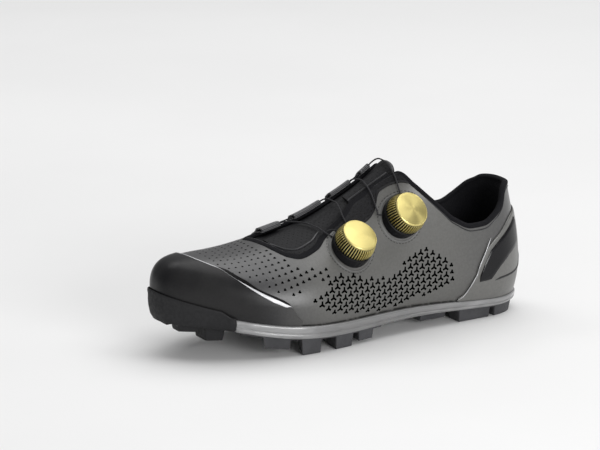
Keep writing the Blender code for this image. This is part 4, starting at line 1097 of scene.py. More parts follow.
def cutter_parts(places):
    """One prism for each cut: a three-armed blade, shrinking to a dot with its size."""
    size = sizes()
    share, turn, big = places[:, 0], places[:, 1], places[:, 2]
    centre, normal = last_point(share, turn), last_normal(share, turn)
    step = np.where(turn < 0.5, 1e-3, -1e-3)
    up = last_point(share, turn + step) - centre
    up /= np.linalg.norm(up, axis=1)[:, None]
    side = np.cross(up, normal)
    arm = DOT_ARM + (size.cut_arm - DOT_ARM) * big
    half, notch = (np.interp(big, (0.0, 0.5), ends) for ends in (ARM_HALF, ARM_NOTCH))
    a, b = [], []
    for k in range(3):
        angle = math.pi / 2.0 + math.radians(BLADE_TURN) + k * 2.0 * math.pi / 3.0
        for sign in (-1.0, 1.0):
            a.append(arm * math.cos(angle) - sign * half * math.sin(angle))
            b.append(arm * math.sin(angle) + sign * half * math.cos(angle))
        a.append(notch * math.cos(angle + math.pi / 3.0))
        b.append(notch * math.sin(angle + math.pi / 3.0))
    a, b = np.array(a).T, np.array(b).T
    flat = centre[:, None] + side[:, None] * a[..., None] + up[:, None] * b[..., None]
    parts = MeshParts()
    top = flat + normal[:, None] * 0.0010
    bottom = flat - normal[:, None] * size.cut_depth
    for prism in np.stack([bottom, top], axis=1):
        parts.tube(prism)
    return parts


def build_upper():
    """Upper: two strips of the last, its cuts made by a boolean, its smooth normals kept."""
    shares = np.concatenate([
        heel_rows(0.12, 26)[:-1], np.linspace(0.12, 0.68, 130)[:-1],
        np.linspace(0.68, THROAT_FRONT, 22)[:-1], toe_rows(THROAT_FRONT, 66),
    ])
    marks = np.linspace(0.0, 1.0, 44)
    parts = strips(shares, (OUTER_CURVE, INNER_CURVE), marks, -sizes().wall, 0.0, THROAT_FRONT)
    hole = flat_finish("cut_wall", (0.001, 0.001, 0.001), 0.9, specular=0.0)
    finishes = [skin_finish(), textile_finish("upper_backing", 0.0009), hole]
    upper = make_piece("upper_skin", parts, finishes, ("upper",))
    smooth = placed("smooth_copy", upper.data.copy())
    cutter = make_piece("cut_shapes", cutter_parts(cut_places()), finishes, merge=1e-9)
    cutter.data.polygons.foreach_set("material_index", np.full(len(cutter.data.polygons), 2, dtype=np.int32))
    cut = upper.modifiers.new("cuts", "BOOLEAN")
    cut.operation, cut.solver, cut.object = "DIFFERENCE", "MANIFOLD", cutter
    keep = upper.modifiers.new("smooth_normals", "DATA_TRANSFER")
    keep.object = smooth
    keep.use_loop_data = True
    keep.data_types_loops = {"CUSTOM_NORMAL"}
    keep.loop_mapping = "POLYINTERP_NEAREST"
    apply_modifiers(upper, "cuts", "smooth_normals")
    for helper in (smooth, cutter):
        bpy.data.objects.remove(helper, do_unlink=True)


def build_film():
    """Black film between the throat and the dials: a thin sheet on the last with a raised rim."""
    shares = np.linspace(FILM_EDGE[0][0], FILM_EDGE[-1][0], 110)
    low, high = edge_curve(FILM_EDGE)(shares), edge_curve(OUTER_EDGE)(shares) - 0.003
    low = np.minimum(low, high - 0.004)
    k = np.array([0.0, 0.02, 0.06, 0.15, 0.3, 0.5, 0.7, 0.85, 1.0])
    turn = low[:, None] * (1.0 - k) + high[:, None] * k
    share = rows_of(shares, len(k))
    ends = np.minimum(smoothstep((shares - shares[0]) / 0.006), smoothstep((shares[-1] - shares) / 0.006))
    edge = np.interp(k, (0.0, 0.02, 0.06, 1.0), (0.2, 0.8, 1.0, 1.0))
    rise = 0.0005 * edge[None, :] * (0.15 + 0.85 * ends[:, None])
    uv = np.stack([share * sizes().length, (turn - low[:, None]) * sizes().ball_width * 1.6], axis=2)
    parts = MeshParts()
    parts.slab(offset_point(share, turn, rise), offset_point(share, turn, -0.0003), uv)
    wide = 0.0008 * (0.3 + 0.7 * ends)
    parts.cord(offset_point(shares, low, 0.0002), last_normal(shares, low), wide, wide * 0.75, finish=1)
    rim = flat_finish("film_rim", (0.006, 0.006, 0.007), 0.42, specular=0.2)
    make_piece("throat_film", parts, [dotted_finish(), rim])


def build_toe_cap():
    """Toe cap: a film over the last whose edge thins out, and whose heel end fades into the upper."""
    size = sizes()
    on = OVERLAY_LIFT * size.gap
    shares = np.concatenate([np.linspace(CAP_START, CAP_FRONT, 72)[:-1], toe_rows(CAP_FRONT, 44)])
    marks = np.concatenate([np.linspace(0.0, 0.965, 36), [0.978, 0.988, 0.995, 1.0]])
    edge = np.interp(marks, (0.965, 0.978, 0.988, 0.995, 1.0), (1.0, 0.95, 0.8, 0.55, 0.12))
    fade = 0.12 + 0.88 * smoothstep((shares - CAP_START) / 0.05)
    past = (shares > CAP_FRONT + 1e-6)[:, None]
    thick = size.overlay * np.where(past, 1.0, edge[None, :]) * fade[:, None]
    near_front = smoothstep((shares - CAP_FRONT) / 0.006)[:, None]
    thick = np.where(past, thick * (edge[None, :] * (1.0 - near_front) + near_front), thick)
    curves = edge_curve(CAP_OUTER_EDGE), edge_curve(CAP_INNER_EDGE)
    parts = strips(shares, curves, marks, on, on + thick, CAP_FRONT)
    skin = skin_finish("cap_film", cap=True)
    make_piece("toe_cap_film", parts, [skin, skin], ("toe_cap",))


def ribbon(path, left, right, height, sink=0.0004):
    """A low ribbon on the last between two distances either side of a path, domed by its height."""
    share, turn = path
    points, normals = last_point(share, turn), last_normal(share, turn)
    k = np.array([0.0, 0.12, 0.5, 0.88, 1.0])
    across = left[:, None] * (1.0 - k) + right[:, None] * k
    crown = np.array([0.35, 0.9, 1.0, 0.9, 0.35])
    top = carried(points, normals, across, np.broadcast_to(height, left.shape)[:, None] * crown)
    low = carried(points, normals, across, np.full((len(points), 5), -sink))
    return top, low


def build_trim():
    """Trim along the cap's edge: a black line, and a reflective strip beside it towards the toe.

    Both follow the path of the cap's edge from the toe back to the side.  The black line is
    broad in the strip's gap, and the strip is broad near the side.
    """
    size = sizes()
    black = flat_finish("trim_black", (0.003, 0.003, 0.003), 0.45, specular=0.1)
    white = flat_finish("trim_reflective", (0.58, 0.58, 0.60), 0.34, coat=0.3, spread=0.05)
    rise = OVERLAY_LIFT * size.gap + size.overlay
    t = np.linspace(0.0, 1.0, 110)
    ends = np.minimum(smoothstep(t / 0.02), smoothstep((1.0 - t) / 0.04)) * MM
    dark = np.interp(t, (0.0, 0.36, 0.46, 0.62, 0.72, 0.93, 1.0), (0.3, 0.5, 3.2, 3.2, 1.6, 1.5, 0.9)) * ends
    pale = np.interp(t, (0.0, 0.36, 0.44, 0.56, 0.66, 0.86, 0.95, 1.0),
                     (0.9, 0.9, 0.1, 0.1, 1.2, 3.2, 2.6, 0.2)) * ends
    zero = np.zeros(len(t))
    bands = ((zero - 0.1 * MM, dark, 0.55 * rise), (-pale - 0.02 * MM, zero, rise + 0.15 * MM))
    for side, table, flip in (("outer", CAP_OUTER_EDGE, -1.0), ("inner", CAP_INNER_EDGE, 1.0)):
        path = smooth_path([mark for mark in reversed(table) if mark[0] > TRIM_START], len(t))
        parts = MeshParts()
        for finish, (left, right, height) in enumerate(bands):
            top, low = ribbon(path, left * flip, right * flip, height)
            parts.slab(top, low, finish=finish)
        make_piece(f"cap_trim_{side}", parts, [black, white])


def both_sides(shares, build):
    """A grid carried round the heel from the outer side to the inner one: build gives share and turn."""
    outer, inner = build(shares, False), build(shares, True)
    share = np.concatenate([outer[0][::-1], inner[0][1:]])
    return share, np.concatenate([outer[1][::-1], inner[1][1:]])


def build_counter():
    """Heel counter with its gloss panels, raised seam, black groove line and reflective tab."""
    size = sizes()
    on = OVERLAY_LIFT * size.gap
    counter = edge_curve(COUNTER_EDGE)
    marks = np.concatenate([np.linspace(0.0, 0.95, 26), [0.97, 0.985, 0.995, 1.0]])

    def counter_rows(shares, inner):
        top = turn_at_height(shares, counter(shares) * size.instep, inner)
        return rows_of(shares, len(marks)), even_turns(shares, 1.0 if inner else 0.0, top, marks)

    share, turn = both_sides(heel_rows(0.224, 60), counter_rows)
    edge = np.interp(marks, (0.95, 0.97, 0.985, 0.995, 1.0), (1.0, 0.95, 0.8, 0.5, 0.1))
    slab_piece("heel_counter_film", offset_point(share, turn, on + size.overlay * edge),
               offset_point(share, turn, on), skin_finish("counter_film", heel_dark=0.1, gain=1.35),
               ("heel_counter",), surface_uv(share, turn))
    table = np.array(PANEL_EDGES)
    gloss = flat_finish("gloss_panel", (0.003, 0.003, 0.004), 0.25, coat=0.2, spread=0.05, specular=0.2)
    over = on + size.overlay + size.gap
    rows = np.linspace(table[0, 0], table[-1, 0], 34)
    heights = [np.interp(rows, table[:, 0], table[:, column]) for column in (1, 2)]
    across = np.linspace(0.0, 1.0, 16)
    crown = 0.0006 * np.minimum(1.0, 6.0 * np.minimum(across, 1.0 - across) + 0.2)
    for side, inner in (("lateral", False), ("medial", True)):
        low, high = (turn_at_height(rows, height * size.instep, inner) for height in heights)
        turn = even_turns(rows, low, high, across)
        share = rows_of(rows, len(across))
        slab_piece(f"gloss_panel_{side}", offset_point(share, turn, over + crown),
                   offset_point(share, turn, over - size.gap), gloss, (f"heel_panel_{side}",))
    silver = flat_finish("seam_silver", (0.36, 0.36, 0.37), 0.30, metallic=0.5)
    black = flat_finish("groove_black", (0.006, 0.006, 0.007), 0.45)
    t = np.linspace(0.0, 1.0, 80)
    taper = np.minimum(1.0, 8.0 * np.minimum(t, t[::-1]) + 0.25)
    for name, line, half, material in (("heel_seam", SEAM_LINE, 0.00045, silver),
                                       ("heel_groove", GROOVE_LINE, 0.00085, black)):
        for side in ("outer", "inner"):
            path = [(share, turn if side == "outer" else 1.0 - turn) for share, turn in line]
            share, turn = smooth_path(path, len(t))
            cord_piece(f"{name}_{side}", offset_point(share, turn, on + size.overlay * 0.9),
                       last_normal(share, turn), half * taper, half * 0.62 * taper, material,
                       sides=10)
    levels = np.linspace(0.36, 0.60, 14) * size.instep

    def tab_rows(shares, inner):
        return rows_of(shares, len(levels)), turn_at_height(shares[:, None], levels[None, :], inner)

    share, turn = both_sides(np.linspace(0.0, 1.0, 8) ** 2 * 0.0009, tab_rows)
    pale = flat_finish("tab_reflective", (0.78, 0.78, 0.80), 0.30, coat=0.3, spread=0.04)
    slab_piece("heel_tab", offset_point(share, turn, on + size.overlay + 0.0005),
               offset_point(share, turn, on), pale)


def opening_path(count):
    """The closed edge of the collar and throat, with the share of each point."""
    rows = np.concatenate([np.linspace(0.0, 0.69, 300), np.linspace(0.69, THROAT_FRONT, 80)[1:]])
    share = np.concatenate([rows, rows[::-1][1:]])
    turn = np.concatenate([OUTER_CURVE(rows), INNER_CURVE(rows[::-1][1:])])
    share, turn = even_path(share, turn, count + 1)
    return share[:-1], turn[:-1]


def build_collar():
    """Padded lining round the heel, and the rolled binding along the whole opening."""
    size = sizes()
    under = -(size.wall + 1.5 * size.gap)
    marks = np.linspace(0.0, 1.0, 30)

    def lining_rows(shares, inner):
        low = turn_at_height(shares, size.instep * 0.34, inner)
        high = (INNER_CURVE if inner else OUTER_CURVE)(shares)
        return rows_of(shares, len(marks)), even_turns(shares, low, high, marks)

    share, turn = both_sides(heel_rows(0.345, 74), lining_rows)
    crown = 0.25 + 0.75 * np.sin(np.clip(marks * 1.04, 0.0, 1.0) * math.pi) ** 0.45
    puff = 1.0 + 0.28 * np.sin(marks * math.pi) ** 2
    t = np.linspace(0.0, 1.0, len(share))
    ends = np.minimum(1.0, 0.3 + 6.0 * np.minimum(t, t[::-1]))
    pad = size.lining * crown[None, :] * puff[None, :] * ends[:, None]
    lining = slab_piece("collar_padding", offset_point(share, turn, under),
                        offset_point(share, turn, under - pad),
                        textile_finish("lining_textile", 0.0011, depth=0.00018),
                        ("collar_lining",), surface_uv(share, turn))
    share, turn = opening_path(900)
    normals = last_normal(share, turn)
    points = offset_point(share, turn, -size.wall * 0.5)
    collar = smoothstep((0.40 - share) / 0.06)
    angle = circle(14)
    wide, tall = (0.0009 + 0.0008 * collar)[:, None], (0.00125 + 0.0009 * collar)[:, None]
    rings = carried(points, normals, np.cos(angle) * wide, np.sin(angle) * tall, closed=True)
    rings += (-collar * 0.0004)[:, None, None] * normals[:, None]
    binding = MeshParts()
    binding.tube(rings, path_uv(points, 14), closed=True)
    cloth = textile_finish("binding_textile", 0.0006, lighter=2.4)
    make_piece("edge_binding", binding, [cloth])
    wide = 0.0008 + 0.0030 * smoothstep((share - 0.42) / 0.05) + 0.0010 * collar
    rings = carried(offset_point(share, turn, 0.0), normals,
                    -wide[:, None] * np.array([-0.10, 0.0, 0.12, 0.5, 0.88, 1.0, 0.98])[None, :],
                    np.array([-0.4, 0.3, 0.5, 0.55, 0.5, 0.2, -0.4])[None, :] * MM, closed=True)
    band = MeshParts()
    band.tube(rings, path_uv(points, 7), closed=True)
    make_piece("edge_band", band, [textile_finish("band_textile", 0.0007)])
    line = turn + np.where(turn < 0.5, -0.0075, 0.0075)
    cord_piece("edge_piping", offset_point(share, line, 0.0001), last_normal(share, line), PIPING, PIPING,
               flat_finish("piping_black", (0.020, 0.020, 0.022), 0.32), closed=True)


def tongue_grid(shares, columns):
    """Shares and turns of the tongue, its top corners rounded."""
    k = np.linspace(0.0, 1.0, columns)
    lead = 0.016 * np.abs(2.0 * k - 1.0) ** 5
    back = (shares.max() - shares) / (shares.max() - shares.min())
    share = shares[:, None] + lead[None, :] * back[:, None]
    outer, inner = (np.interp(share, TONGUE_SHARES, turns) for turns in TONGUE_TURNS)
    return share, outer * (1.0 - k) + inner * k


def build_tongue():
    """Tongue: a thin pad with a raised middle and stitched channels, bound along its top."""
    size = sizes()
    share, turn = tongue_grid(np.linspace(TONGUE_SHARES[0] + 0.010, TONGUE_SHARES[-1], 90), 44)
    k = np.linspace(0.0, 1.0, 44)
    top = -(size.wall + 2.4 * size.gap)
    crown = np.minimum(1.0, 7.0 * np.minimum(k, 1.0 - k) + 0.25)
    channel = sum(np.exp(-((k - at) / 0.018) ** 2) for at in (0.24, 0.5, 0.76)) * 0.0005
    upper = top - channel[None, :] + 0.0004 * crown[None, :] * smoothstep((0.46 - share) / 0.06)
    slab_piece("tongue_pad", offset_point(share, turn, upper),
               offset_point(share, turn, top - size.tongue * crown[None, :]), dotted_finish(),
               ("tongue",), surface_uv(share, turn))
    share, turn = share[0], turn[0]
    grey = flat_finish("binding_grey", (0.012, 0.012, 0.013), 0.42)
    cord_piece("tongue_binding", offset_point(share, turn, top - size.tongue * 0.45),
               last_normal(share, turn), 0.0014, 0.0019, grey, sides=12)


def build_wings():
    """Perforated panels filling the outer throat edge, each with a piping line."""
    size = sizes()
    top = -(size.wall + 1.4 * size.gap)
    marks = np.linspace(0.0, 1.0, 24)
    rim = np.minimum(1.0, 0.35 + 9.0 * np.minimum(marks, 1.0 - marks))
    piping = flat_finish("piping_black", (0.020, 0.020, 0.022), 0.32)
    for name, start, end, reach in WINGS:
        shares = np.linspace(start, end, 50)
        near = OUTER_CURVE(shares) + 0.006
        far = np.maximum(turn_across(shares, np.full(shares.shape, reach * size.ball_width)), near + 0.03)
        turn = even_turns(shares, near, far, marks)
        share = rows_of(shares, len(marks))
        slab_piece(f"{name}_panel", offset_point(share, turn, -0.0005 * (1.0 - rim[None, :])),
                   offset_point(share, turn, top), dotted_finish(), (name,),
                   surface_uv(share, turn))
        path = even_path(shares, near + (far - near) * 0.16, 90)
        cord_piece(f"{name}_piping", offset_point(*path, 0.0002), last_normal(*path), 0.0006, 0.0006, piping)


def build_webbing():
    """Folded strap loops on the inner throat edge, each a flat tunnel for the lace."""
    size = sizes()
    low, high = size.gap, size.gap + 2.0 * size.loop + size.slot
    leg = size.loop
    fold, root, tip = (size.ball_width * share for share in (LOOP_FOLD, LOOP_ROOT, LOOP_TIP))
    middle, slope = (fold + root) / 2.0, root + 0.0035
    tail = (slope + tip) / 2.0
    outer_marks = (
        (fold + 0.0016, low), (fold + 0.0005, low + 0.0003), (fold, low + 0.0012), (fold, high - 0.0012),
        (fold + 0.0005, high - 0.0003), (fold + 0.0016, high), (middle, high + 0.0001), (root, high),
        (root + 0.0017, (low + leg * 2.0 + high) / 2.0), (slope, low + leg * 1.8), (tail, low + leg * 1.3),
        (tip - 0.0004, low + leg), (tip, low + leg * 0.6), (tip, low), (tail, low), (slope, low), (root, low),
        (middle, low),
    )
    inner_marks = (
        (fold + 0.0022, low + leg), (fold + 0.0013, low + leg + 0.0002), (fold + 0.0010, low + leg + 0.0006),
        (fold + 0.0010, high - leg - 0.0006), (fold + 0.0013, high - leg - 0.0002),
        (fold + 0.0022, high - leg), (middle, high - leg), (root - 0.0006, high - leg),
        (root + 0.0004, (low + high) / 2.0), *[(root + 0.0014, low + leg + 0.0005)] * 4,
        (root + 0.0014, low + leg + 0.0004), (root + 0.0012, low + leg + 0.0002),
        (root + 0.0006, low + leg), (root - 0.0006, low + leg), (middle, low + leg),
    )
    for name, first, last in LOOPS:
        parts = MeshParts()
        starts = []
        for marks in (outer_marks, inner_marks):
            share = rows_of(np.linspace(first, last, LOOP_ROWS), len(marks))
            across, out = np.array(marks).T
            turn = turn_across(share, np.broadcast_to(-across, share.shape))
            uv = np.stack(np.broadcast_arrays(share * size.length, lengths(marks)[None, :]), axis=-1)
            starts.append(parts.add_points(offset_point(share, turn, out), uv))
        count = len(outer_marks)
        parts.add_faces(quads(LOOP_ROWS, count, starts[0], False, True))
        parts.add_faces(quads(LOOP_ROWS, count, starts[1], False, True)[:, ::-1])
        j = np.arange(count)
        for row in (0, LOOP_ROWS - 1):
            a, b = starts[0] + row * count + j, starts[1] + row * count + j
            parts.add_faces(np.stack([a, np.roll(a, -1), np.roll(b, -1), b], axis=1))
        make_piece(f"webbing_{name}", parts, [webbing_finish()], (f"lace_loop_{name}",),
                   sharp=50.0)


def build_slots():
    """Slots in the inner side where the straps pass through: a raised rim and a row of stitches."""
    black = flat_finish("slot_black", (0.008, 0.008, 0.009), 0.5)
    thread = flat_finish("thread_black", (0.010, 0.010, 0.011), 0.6)
    angle = circle(96)
    round_it, over = (np.sign(wave) * np.abs(wave) ** 0.45 for wave in (np.cos(angle), np.sin(angle)))
    for name, first, last in LOOPS[:3]:
        middle, half = (first + last) / 2.0, (last - first) / 2.0 + 0.004
        ends = np.array([first, last])
        centre = float(np.mean(run_at(ends, turn_across(ends, np.full(2, -0.0405)))))
        share = middle + half * round_it
        turn = turn_at_run(share, centre + 0.0026 * over)
        cord_piece(f"slot_{name}_rim", offset_point(share, turn, 0.0001), last_normal(share, turn),
                   0.00045, 0.00045, black, closed=True)
        for row, at in (("upper", -0.0013), ("lower", 0.0013)):
            line = np.linspace(middle - half * 0.85, middle + half * 0.85, int(half * 2.0 * 260.0))
            turn = turn_at_run(line, centre + at)
            points, normals = offset_point(line, turn, 0.0001), last_normal(line, turn)
            way = np.gradient(points, axis=0)
            way /= np.linalg.norm(way, axis=1)[:, None]
            parts = MeshParts()
            for k in range(0, len(points), 2):
                parts.stitch(points[k], way[k], normals[k], SLOT_STITCH, 0.00028)
            make_piece(f"slot_{name}_{row}_stitches", parts, [thread])


def dial_axes(share, turn):
    """Centre and axes of a dial, its axis leaning up and back from the surface."""
    centre = Vector(last_point(share, turn))
    axis = (Vector(last_normal(share, turn)) + Vector(DIAL_LEAN)).normalized()
    centre += Vector(DIAL_SEATS[0] if share > 0.45 else DIAL_SEATS[1])
    side = axis.cross(Vector((0.0, 0.35, 1.0))).normalized()
    return centre, axis, side, side.cross(axis).normalized()


def turned(frame_axes, radius, height, angle):
    """Points about a dial's axis at radii, heights and angles."""
    centre, axis, side, up = (np.array(v) for v in frame_axes)
    radius, height, angle = np.broadcast_arrays(radius, height, angle)
    flat = side * np.cos(angle)[..., None] + up * np.sin(angle)[..., None]
    return centre + flat * radius[..., None] + axis * height[..., None]


def node_reach(node, frame_axes):
    """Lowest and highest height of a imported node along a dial's axis."""
    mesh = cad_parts[node].data
    points = np.empty(len(mesh.vertices) * 3, dtype=np.float32)
    mesh.vertices.foreach_get("co", points)
    heights = (points.reshape(-1, 3) - np.array(frame_axes[0])) @ np.array(frame_axes[1])
    return float(heights.min()), float(heights.max())


def surface_hits(tree, spots, axis):
    """Where lines down an axis through the spots meet a surface, and its normals there."""
    return [tree.ray_cast(Vector(spot) + axis * 0.03, -axis)[:2] for spot in spots]


def build_surround(name, axes, floor, low, skirt, plastic):
    """A dial's ribbed surround, from the upper's surface up to its deck under the knob."""
    base, count = sizes().dial_base / 2.0, floor.shape[1]
    angle = circle(count)
    deck = low - sizes().gap
    shelf = deck - skirt
    teeth = 0.00035 * (0.5 + 0.5 * np.cos(angle * 24.0))
    rows = (
        (base * 0.35, floor[1] + 0.0001), (base * 0.70, floor[2] - 0.0003), (base * 0.80, floor[3] - 0.0003),
        (base * 0.865, floor[3] + 0.0006), (base * 0.875 - teeth, floor[3] * 0.8 + shelf * 0.2),
        (base * 0.880 - teeth, floor[3] * 0.3 + shelf * 0.7), (base * 0.875, floor[3] * 0.05 + shelf * 0.95),
        (base * 0.84, shelf), (base * 0.66, shelf), (base * 0.64, deck), (base * 0.3, deck),
    )
    parts = MeshParts()
    parts.tube(np.array([turned(axes, radius, height, angle) for radius, height in rows]))
    make_piece(f"dial_{name}_surround", parts, [plastic], (f"dial_{name}_base",))


def build_knob(name, axes, low, high, drop, finishes):
    """A dial's knob: ribs round its side, a groove, and a domed face brushed in circles."""
    ribs, radius, tall = sizes().ribs, sizes().dial / 2.0, high - low
    around = circle(ribs * 8)
    rib = np.clip(0.5 + 1.3 * np.cos(around * ribs), 0.0, 1.0)
    rows = [(radius * wide - radius * 0.085 * cut * (1.0 - rib), at * drop if at < 0.0 else at)
            for wide, at, cut in KNOB_PROFILE]
    rows += [(np.full(around.shape, radius * wide), 0.845 + 0.090 * (1.0 - (wide / 0.840) ** 2))
             for wide in np.linspace(0.830, 0.02, 24)]
    rings = np.array([turned(axes, wide, low + tall * at, around) for wide, at in rows])
    uvs = np.array([np.stack([around / (2.0 * math.pi), wide], axis=1) for wide, _ in rows])
    parts = MeshParts()
    parts.tube(rings, uvs)
    count = len(around)
    finish = np.zeros(len(parts.faces), int)
    finish[(len(KNOB_PROFILE) - 1) * count:(len(rings) - 1) * count] = 1
    # The faces in the gaps between the ribs take the near-black plastic finish: painted shade between the
    # ribs.
    between_ribs = (rib + np.roll(rib, -1))[None, :].repeat(8, axis=0).ravel() < 1.3
    finish[3 * count:11 * count][between_ribs] = 2
    finish[-1] = 1
    parts.finish = finish.tolist()
    make_piece(f"dial_{name}_grip", parts, finishes, (f"dial_{name}_knob",), sharp=60.0)


def build_welt(name, axes, upper):
    """The raised welt round a dial on the upper, and the ring of stitches outside it."""
    axis, base = axes[1], sizes().dial_base / 2.0
    ring = turned(axes, base * 0.955, 0.0, circle(96))
    hits = surface_hits(upper, ring, axis)
    points = np.array([np.array(hit) if hit else spot for (hit, _), spot in zip(hits, ring)])
    normals = np.array([np.array(normal) if normal else np.array(axis) for _, normal in hits])
    # The welt is coloured a little lighter than the skin round it: a painted highlight on its raised edge.
    cord_piece(f"dial_{name}_welt", points, normals, 0.0006, 0.00048,
               flat_finish("welt_skin", (0.115, 0.115, 0.113), 0.38), sides=10, closed=True)
    parts = MeshParts()
    ring = turned(axes, base * 1.03, 0.0, circle(44))
    for spot, ahead, (hit, normal) in zip(ring, np.roll(ring, -1, axis=0), surface_hits(upper, ring, axis)):
        if hit is not None:
            out, way = np.array(normal), ahead - spot
            way -= out * (way @ out)
            parts.stitch(np.array(hit), way / np.linalg.norm(way), out, DIAL_STITCH, 0.00026)
    thread = flat_finish("thread_black", (0.010, 0.010, 0.011), 0.6)
    make_piece(f"dial_{name}_stitches", parts, [thread])


def build_dials():
    """Two dials, each a surround shaped to the upper, a knurled metal knob, a welt and stitches."""
    size = sizes()
    upper = tree_of(bpy.data.objects["upper_skin"])
    plastic = flat_finish("dial_plastic", (0.006, 0.006, 0.007), 0.45, specular=0.15)
    finishes = [gold_finish(), gold_finish("dial_face_metal", brushed=True), plastic]
    angle = circle(96)
    for name, share, turn in DIALS:
        axes = dial_axes(share, turn)
        centre, axis = axes[0], axes[1]
        low, high = node_reach(f"dial_{name}_knob", axes)
        floor = []
        for reach in (0.0, 0.35, 0.7, 0.8):
            hits = surface_hits(upper, turned(axes, size.dial_base / 2.0 * reach, 0.0, angle), axis)
            floor.append([(hit - centre).dot(axis) if hit else 0.0 for hit, _ in hits])
        floor = np.array(floor)
        tall = high - low
        skirt = max(0.5 * tall, min(0.95 * tall, low - size.gap - floor[3].max() - 0.0006))
        build_surround(name, axes, floor, low, skirt, plastic)
        build_knob(name, axes, low, high, skirt / (0.52 * tall), finishes)
        build_welt(name, axes, upper)


def build_laces():
    """Two lace circuits: a braided cord along each route, ending in its dial's surround."""
    size = sizes()
    slot = size.gap + size.loop + size.slot / 2.0
    for name, marks, dial in (("front", FRONT_LACE, DIALS[0]), ("top", TOP_LACE, DIALS[1])):
        share, across = np.array(marks).T
        points = offset_point(share, turn_across(share, across * size.ball_width), slot)
        centre, axis = (np.array(v) for v in dial_axes(dial[1], dial[2])[:2])
        ends = []
        for near in (points[0], points[-1]):
            level = centre + axis * ((near - centre) @ axis)
            way = (level - near) / np.linalg.norm(level - near)
            ends.append(level - way * size.dial_base * 0.44)
        points = np.concatenate([[ends[0]], points, [ends[1]]])
        run = lengths(points)
        at = np.linspace(0.0, run[-1], 420)
        fine = np.stack([steady_through(run, points[:, k])(at) for k in range(3)], axis=1)
        normals = np.cross(np.gradient(fine, axis=0), np.array([0.3, 1.0, 0.2]))
        half = size.lace / 2.0
        cord_piece(f"cord_{name}", fine, normals, half, half, lace_finish(), (f"lace_{name}",),
                   sides=10)


def side_line(share, out, inner):
    """A line level with the foot line, at a distance outward from it."""
    return offset_point(share, np.full(share.shape, 1.0 if inner else 0.0), out)


def profile_lines(shares, corners, inner):
    """Lines along the sole at each corner of a profile: distance outward and height."""
    lines = []
    for out, height in corners:
        line = side_line(shares, out, inner)
        line[:, 2] = height
        lines.append(line)
    return lines


def build_plate():
    """Sole plate: its band's profile carried round the foot line, and the cleat pocket cut underneath."""
    size = sizes()
    shares = np.concatenate([heel_rows(0.10, 30)[:-1], np.linspace(0.10, PLATE_END, 130)])
    top = section(shares, "foot") - size.gap
    band = section(shares, "band")
    corners = [(out * size.band, top - band * drop) for out, drop in BAND_PROFILE]
    outer, inner = (profile_lines(shares, corners, side) for side in (False, True))
    marks = np.linspace(0.0, 1.0, 9)[1:-1]
    over = [outer[0] * (1 - a) + inner[0] * a for a in marks]
    under = [outer[-1] * (1 - a) + inner[-1] * a for a in marks]
    rings = np.stack([outer[0]] + over + inner + under[::-1] + outer[1:][::-1], axis=1)
    shift = place_of_last()
    rings[-1, :, 1] = size.length * (0.5 - PLATE_END) + shift[1]
    parts = MeshParts()
    parts.tube(rings, caps=(False, True))
    plate = make_piece("plate_band", parts, [band_finish()], ("sole_plate",))
    x = float(section(POCKET_SHARE, "centre")) + shift[0]
    y = size.length * (0.5 - POCKET_SHARE) + shift[1]
    seat = float(section(0.62, "foot") - size.gap - section(0.62, "band")) + size.pocket
    boxes = [((x, y, seat - 0.010), (0.036, 0.066, 0.020))]
    boxes += [((x + side * 0.007, y, seat), (0.0056, 0.034, 0.030)) for side in (-1.0, 1.0)]
    for where, extent in boxes:
        mesh = bpy.data.meshes.new("pocket_shape")
        work = bmesh.new()
        bmesh.ops.create_cube(work, size=1.0)
        bmesh.ops.scale(work, vec=extent, verts=work.verts)
        bmesh.ops.bevel(work, geom=work.edges, offset=0.0011, segments=3, affect="EDGES", profile=0.5)
        bmesh.ops.translate(work, vec=where, verts=work.verts)
        work.to_mesh(mesh)
        work.free()
        cutter = placed("pocket_shape", mesh)
        cut = plate.modifiers.new("pocket", "BOOLEAN")
        cut.operation, cut.solver, cut.object = "DIFFERENCE", "EXACT", cutter
        apply_modifiers(plate, "pocket")
        bpy.data.objects.remove(cutter, do_unlink=True)
    plate.data.shade_smooth()
    plate.data.set_sharp_from_angle(angle=math.radians(38.0))


def ramp_stops(lugs, start, end, ramp, step):
    """Shares along a row of lugs, close together on each lug's two ramps."""
    stops = [start, end]
    for first, last, *_ in lugs:
        for edge, sign in ((first, -1.0), (last, 1.0)):
            stops += list(edge + sign * np.linspace(-0.35, 1.0, 9) * ramp)
    stops = np.unique(np.clip(np.array(stops), start, end).round(6))
    filled = [np.linspace(a, b, max(2, int(math.ceil((b - a) / step)) + 1))[:-1]
              for a, b in zip(stops, stops[1:])]
    return np.append(np.concatenate(filled), end)


def lug_levels(shares, lugs, ramp):
    """For each share, how far into a lug it is (0 to 1) and that lug's floor height."""
    weight, level = np.zeros(shares.shape), np.zeros(shares.shape)
    for first, last, start, end in lugs:
        rise = smoothstep(np.minimum(shares - first + ramp, last + ramp - shares) / ramp)
        height = np.interp(shares, (first, last), (start, end)) * sizes().stack
        level = np.where(rise > weight, height, level)
        weight = np.maximum(weight, rise)
    return weight, level


